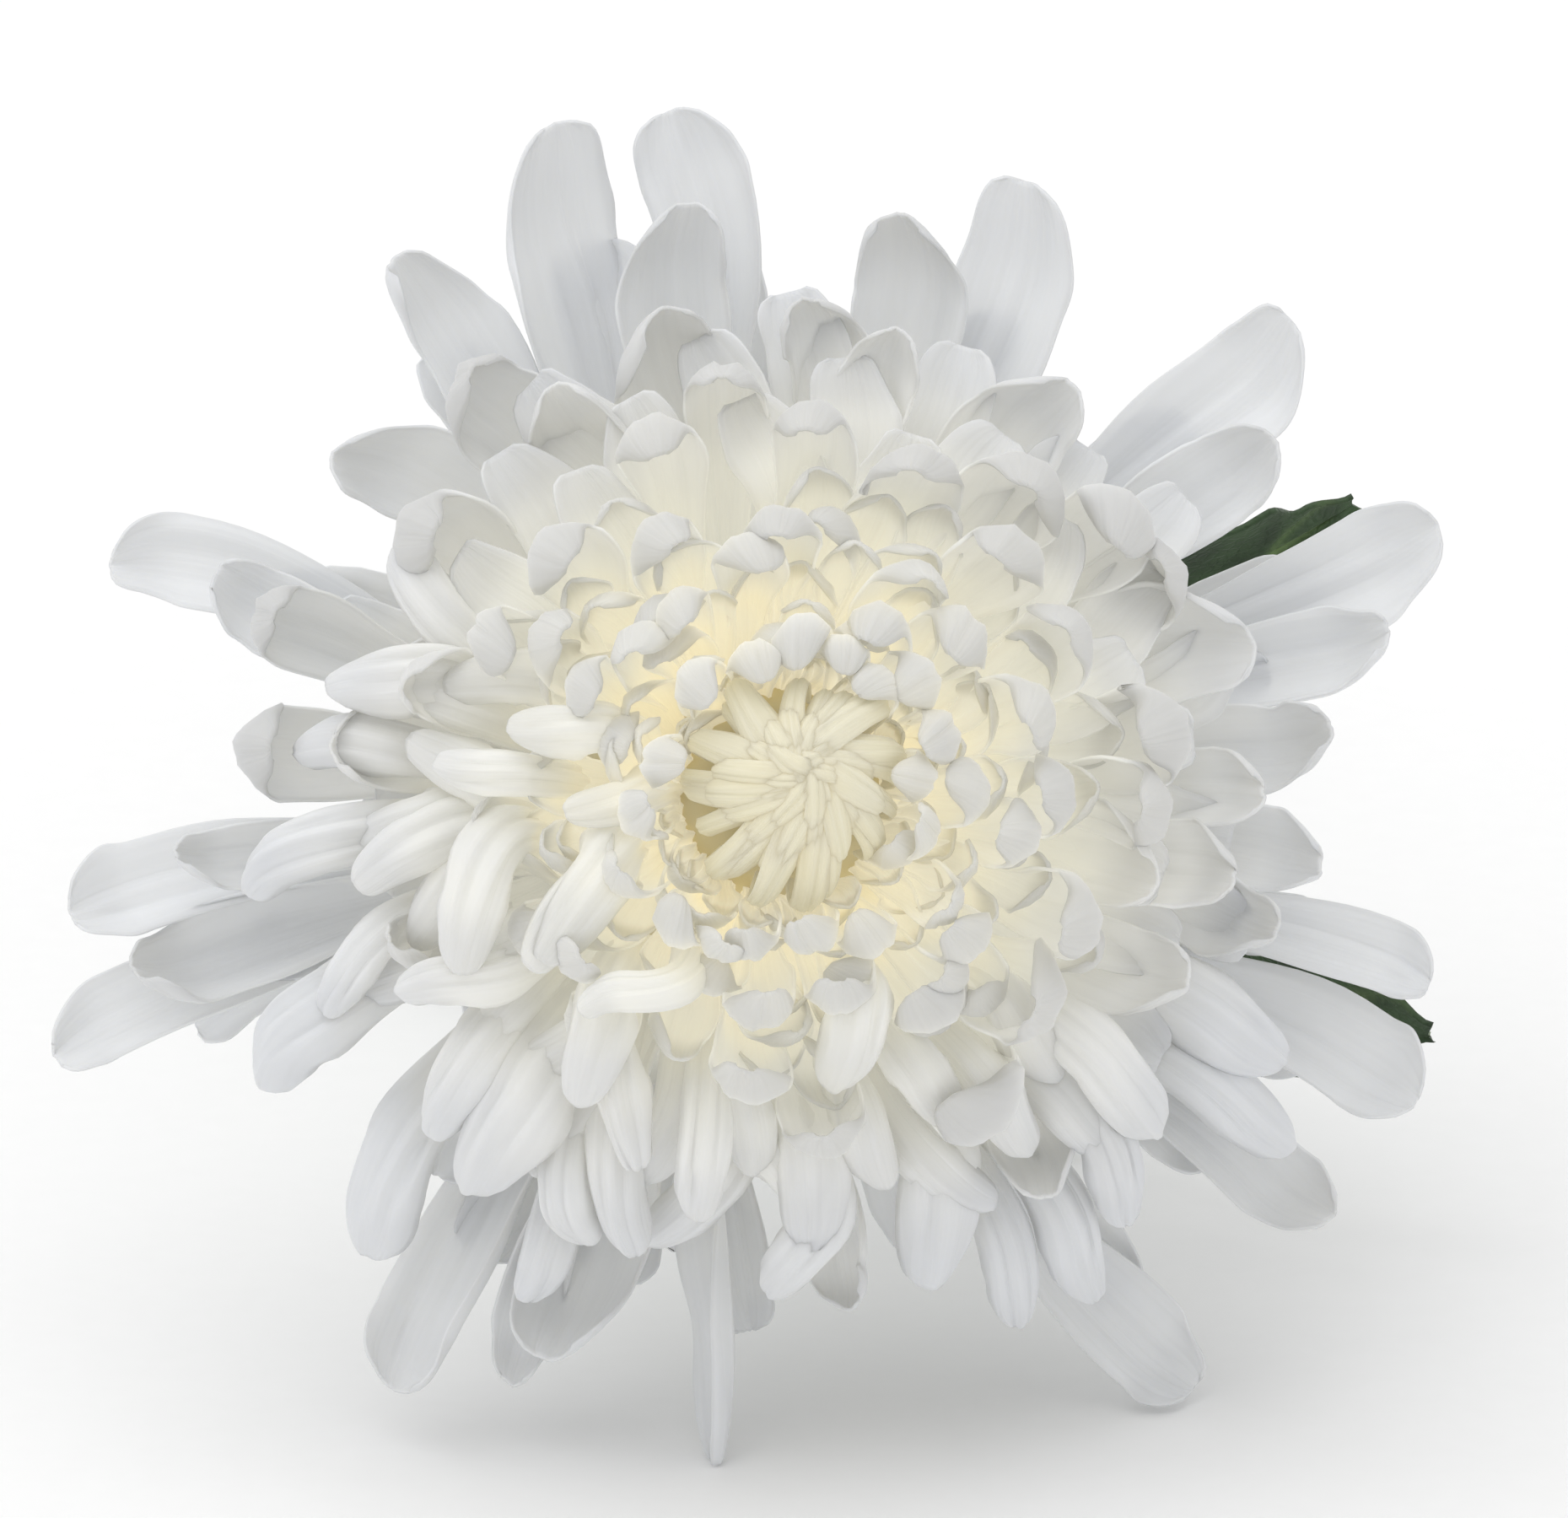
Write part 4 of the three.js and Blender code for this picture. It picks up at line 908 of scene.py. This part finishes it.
# foot: share of the stem's length. tip: a place in the bloom's frame. width: share of the outline's. lift and
# bow: mm that the rib bends out of its face and sideways. roll: degrees that the tip turns. upper and lower:
# share of the width on that side of the rib.
LEAF_NUMBERS = ("foot", "tip", "width", "lift", "bow", "roll", "upper", "lower")
LEAVES = {
    "leaf_1": (0.14, (54, 27.5, -50), 0.9, 3, 4, 30, 0.6, 1),
    "leaf_2": (0.26, (61.5, -24, -50), 0.9, 2, 6, 25, 1, 0.3),
    "leaf_3": (0.37, (25, -36, -79), 0.5, 4, 2, 10, 1, 1),
    "leaf_4": (0.36, (-34, 25, -136), 1, 8, 3, 0, 1, 1),
    "leaf_5": (0.47, (-42, -5, -160), 1, 8, -3, 0, 1, 1),
    "leaf_6": (0.54, (24, 33, -190), 1, 8, 3, 0, 1, 1),
}
leaf_skin, tree = new_material("dark_chrysanthemum_leaf")
where = add(tree, COORDINATES, out=3)
vein_mask = add(tree, HELD, out=2, attribute_name="vein")
mottle = add(tree, NOISE, {"Vector": where, "Scale": 220.0, "Detail": 3.0})
greens = add(tree, RAMP, {0: mottle})
set_stops(greens, (0.3, "#22341D"), (0.7, "#3A5430"))
tinted = add(tree, MIX, {0: vein_mask, 6: greens, 7: srgb("#6C8550")}, out=2, data_type="RGBA")
cells = add(tree, "ShaderNodeTexVoronoi", {"Vector": where, "Scale": 900.0}, feature="DISTANCE_TO_EDGE")
quilt = add(tree, RANGE, {0: cells, 2: 0.25})
bump = add(tree, BUMP, {"Strength": 0.5, "Distance": 0.00015, "Height": quilt})
add(tree, OUTPUT, {"Surface": add(tree, PRINCIPLED, {
    "Base Color": tinted, "Roughness": 0.5, "IOR": 1.43, "Normal": bump, "Sheen Weight": 0.15})})

LEAF_ROWS, LEAF_COLUMNS = 120, 33
LEAF_THICKNESS = 0.0006
# how deep the leaf's stalk is sunk in the stem, in mm
PETIOLE_SUNK = 0.7
# teeth: depth as a share of the half width, and pace along the leaf. side veins: how many, and their slant
TOOTH_DEPTH, TOOTH_PACE = 0.07, 70
SIDE_VEINS, VEIN_SLANT = 4.76, 0.42
outline_at, outline_half, outline_forward = (np.array(column) for column in zip(*LEAF_OUTLINE))


def smoothly(at, values):
    """The outline's numbers with rounded corners between its points."""
    i = min(max(int(np.searchsorted(outline_at, at)), 1), len(outline_at) - 1)
    part = (at - outline_at[i - 1]) / (outline_at[i] - outline_at[i - 1])
    part = part * part * (3 - 2 * part)
    return float(values[i - 1] + (values[i] - values[i - 1]) * part)


for name, row in LEAVES.items():
    leaf = dict(zip(LEAF_NUMBERS, row))
    on, stem_way = on_stem(leaf["foot"])
    end = in_bloom(*leaf["tip"]) / MM
    away = ((end - on) - stem_way * (end - on).dot(stem_way)).normalized()
    start = on + away * (STEM_RADIUS - PETIOLE_SUNK)
    length = (end - start).length
    facing = (-stem_way - away * 0.25).normalized()
    sideways = (end - start).cross(facing).normalized()
    bend = start.lerp(end, 0.6) + facing * leaf["lift"] + sideways * leaf["bow"]
    leaving = start + away * length * 0.2
    spots, veins = [], []
    for i in range(LEAF_ROWS):
        at = i / (LEAF_ROWS - 1)
        left = 1 - at
        rib = (start * left ** 3 + leaving * (3 * left * left * at) + bend * (3 * left * at * at)
               + end * at ** 3)
        forward = ((leaving - start) * left * left + (bend - leaving) * (2 * left * at)
                   + (end - bend) * at * at).normalized()
        across = forward.cross(facing).normalized()
        across = Quaternion(forward, math.radians(leaf["roll"]) * at) @ across
        face = across.cross(forward)
        tooth = 1 + TOOTH_DEPTH * abs(math.sin(at * TOOTH_PACE)) * (at > 0.25)
        half = smoothly(at, outline_half) * leaf["width"] * length * tooth
        ahead = smoothly(at, outline_forward) * length
        for j in range(LEAF_COLUMNS):
            v = 2 * j / (LEAF_COLUMNS - 1) - 1
            edge = abs(v)
            side_vein = 0.5 + 0.5 * math.cos(2 * math.pi * (at * SIDE_VEINS - edge * VEIN_SLANT - 0.2))
            vein = max(math.exp(-(v * 15) ** 2), side_vein ** 34 * 0.6 * (at > 0.2) * (1 - edge * 0.6))
            rise = half * edge ** 1.5 * (0.28 + 0.12 * math.sin(at * 17))
            quilted = -0.5 * vein * (edge < 0.95) + 0.25 * math.sin(at * 60 + v * 5) * edge * (1 - edge)
            aside = half * v * leaf["lower" if v > 0 else "upper"]
            spot = rib + forward * ahead * edge + across * aside + face * (rise + quilted)
            spots.append(spot * MM)
            veins.append(vein)
    faces = []
    for i in range(LEAF_ROWS - 1):
        for first in range(i * LEAF_COLUMNS, (i + 1) * LEAF_COLUMNS - 1):
            faces.append((first, first + 1, first + LEAF_COLUMNS + 1, first + LEAF_COLUMNS))
    mesh = bpy.data.meshes.new(name + "_blade")
    mesh.from_pydata(spots, [], faces)
    held = mesh.attributes.new("vein", "FLOAT", "POINT")
    held.data.foreach_set("value", veins)
    mesh.materials.append(leaf_skin)
    mesh.shade_smooth()
    blade = put_in_scene(name + "_blade", mesh)
    thicken(blade, LEAF_THICKNESS)
    blade.data = plain_mesh(blade)
    blade.modifiers.clear()
    rest_on_table(blade.data)
    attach(blade, "root")
    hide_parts(name)

# ---- Table and light ----
# A plain white table top and a bright, even studio: a white surround, with one large soft lamp above
# to the left that gives the florets their faint shadows.
table_skin, tree = new_material("white_table_top")
where = add(tree, COORDINATES, out=3)
fine = add(tree, NOISE, {"Vector": where, "Scale": 300.0, "Detail": 2.0})
tint = add(tree, RANGE, {0: fine, 1: 0.3, 2: 0.7, 3: 0.97, 4: 0.98})
add(tree, OUTPUT, {"Surface": add(tree, PRINCIPLED, {
    "Base Color": tint, "Roughness": 0.9, "Specular IOR Level": 0.1})})
FLOOR = 30.0
table_mesh = bpy.data.meshes.new("table_top")
corners = [(-FLOOR, -FLOOR, 0), (FLOOR, -FLOOR, 0), (FLOOR, FLOOR, 0), (-FLOOR, FLOOR, 0)]
table_mesh.from_pydata(corners, [], [(0, 1, 2, 3)])
table_mesh.materials.append(table_skin)
table_top = put_in_scene("table_top", table_mesh)
table_top.location = (0, 0, -0.0002)

surround = bpy.data.worlds.new("white_studio")
scene.world = surround
surround.use_nodes = True
tree = surround.node_tree
tree.nodes.clear()
glow = add(tree, "ShaderNodeBackground", {"Color": srgb("#FFFFFF"), "Strength": 0.70})
add(tree, "ShaderNodeOutputWorld", {"Surface": glow})

sky_lamp = bpy.data.lights.new("ceiling_light", "SUN")
sky_lamp.energy = 1.15
sky_lamp.angle = math.radians(80)
ceiling = put_in_scene("ceiling_light", sky_lamp)
ceiling.rotation_mode = "QUATERNION"
ceiling.rotation_quaternion = Vector((0.25, 0.2, -1)).to_track_quat("-Z", "Y")
scene.view_settings.view_transform = "Standard"
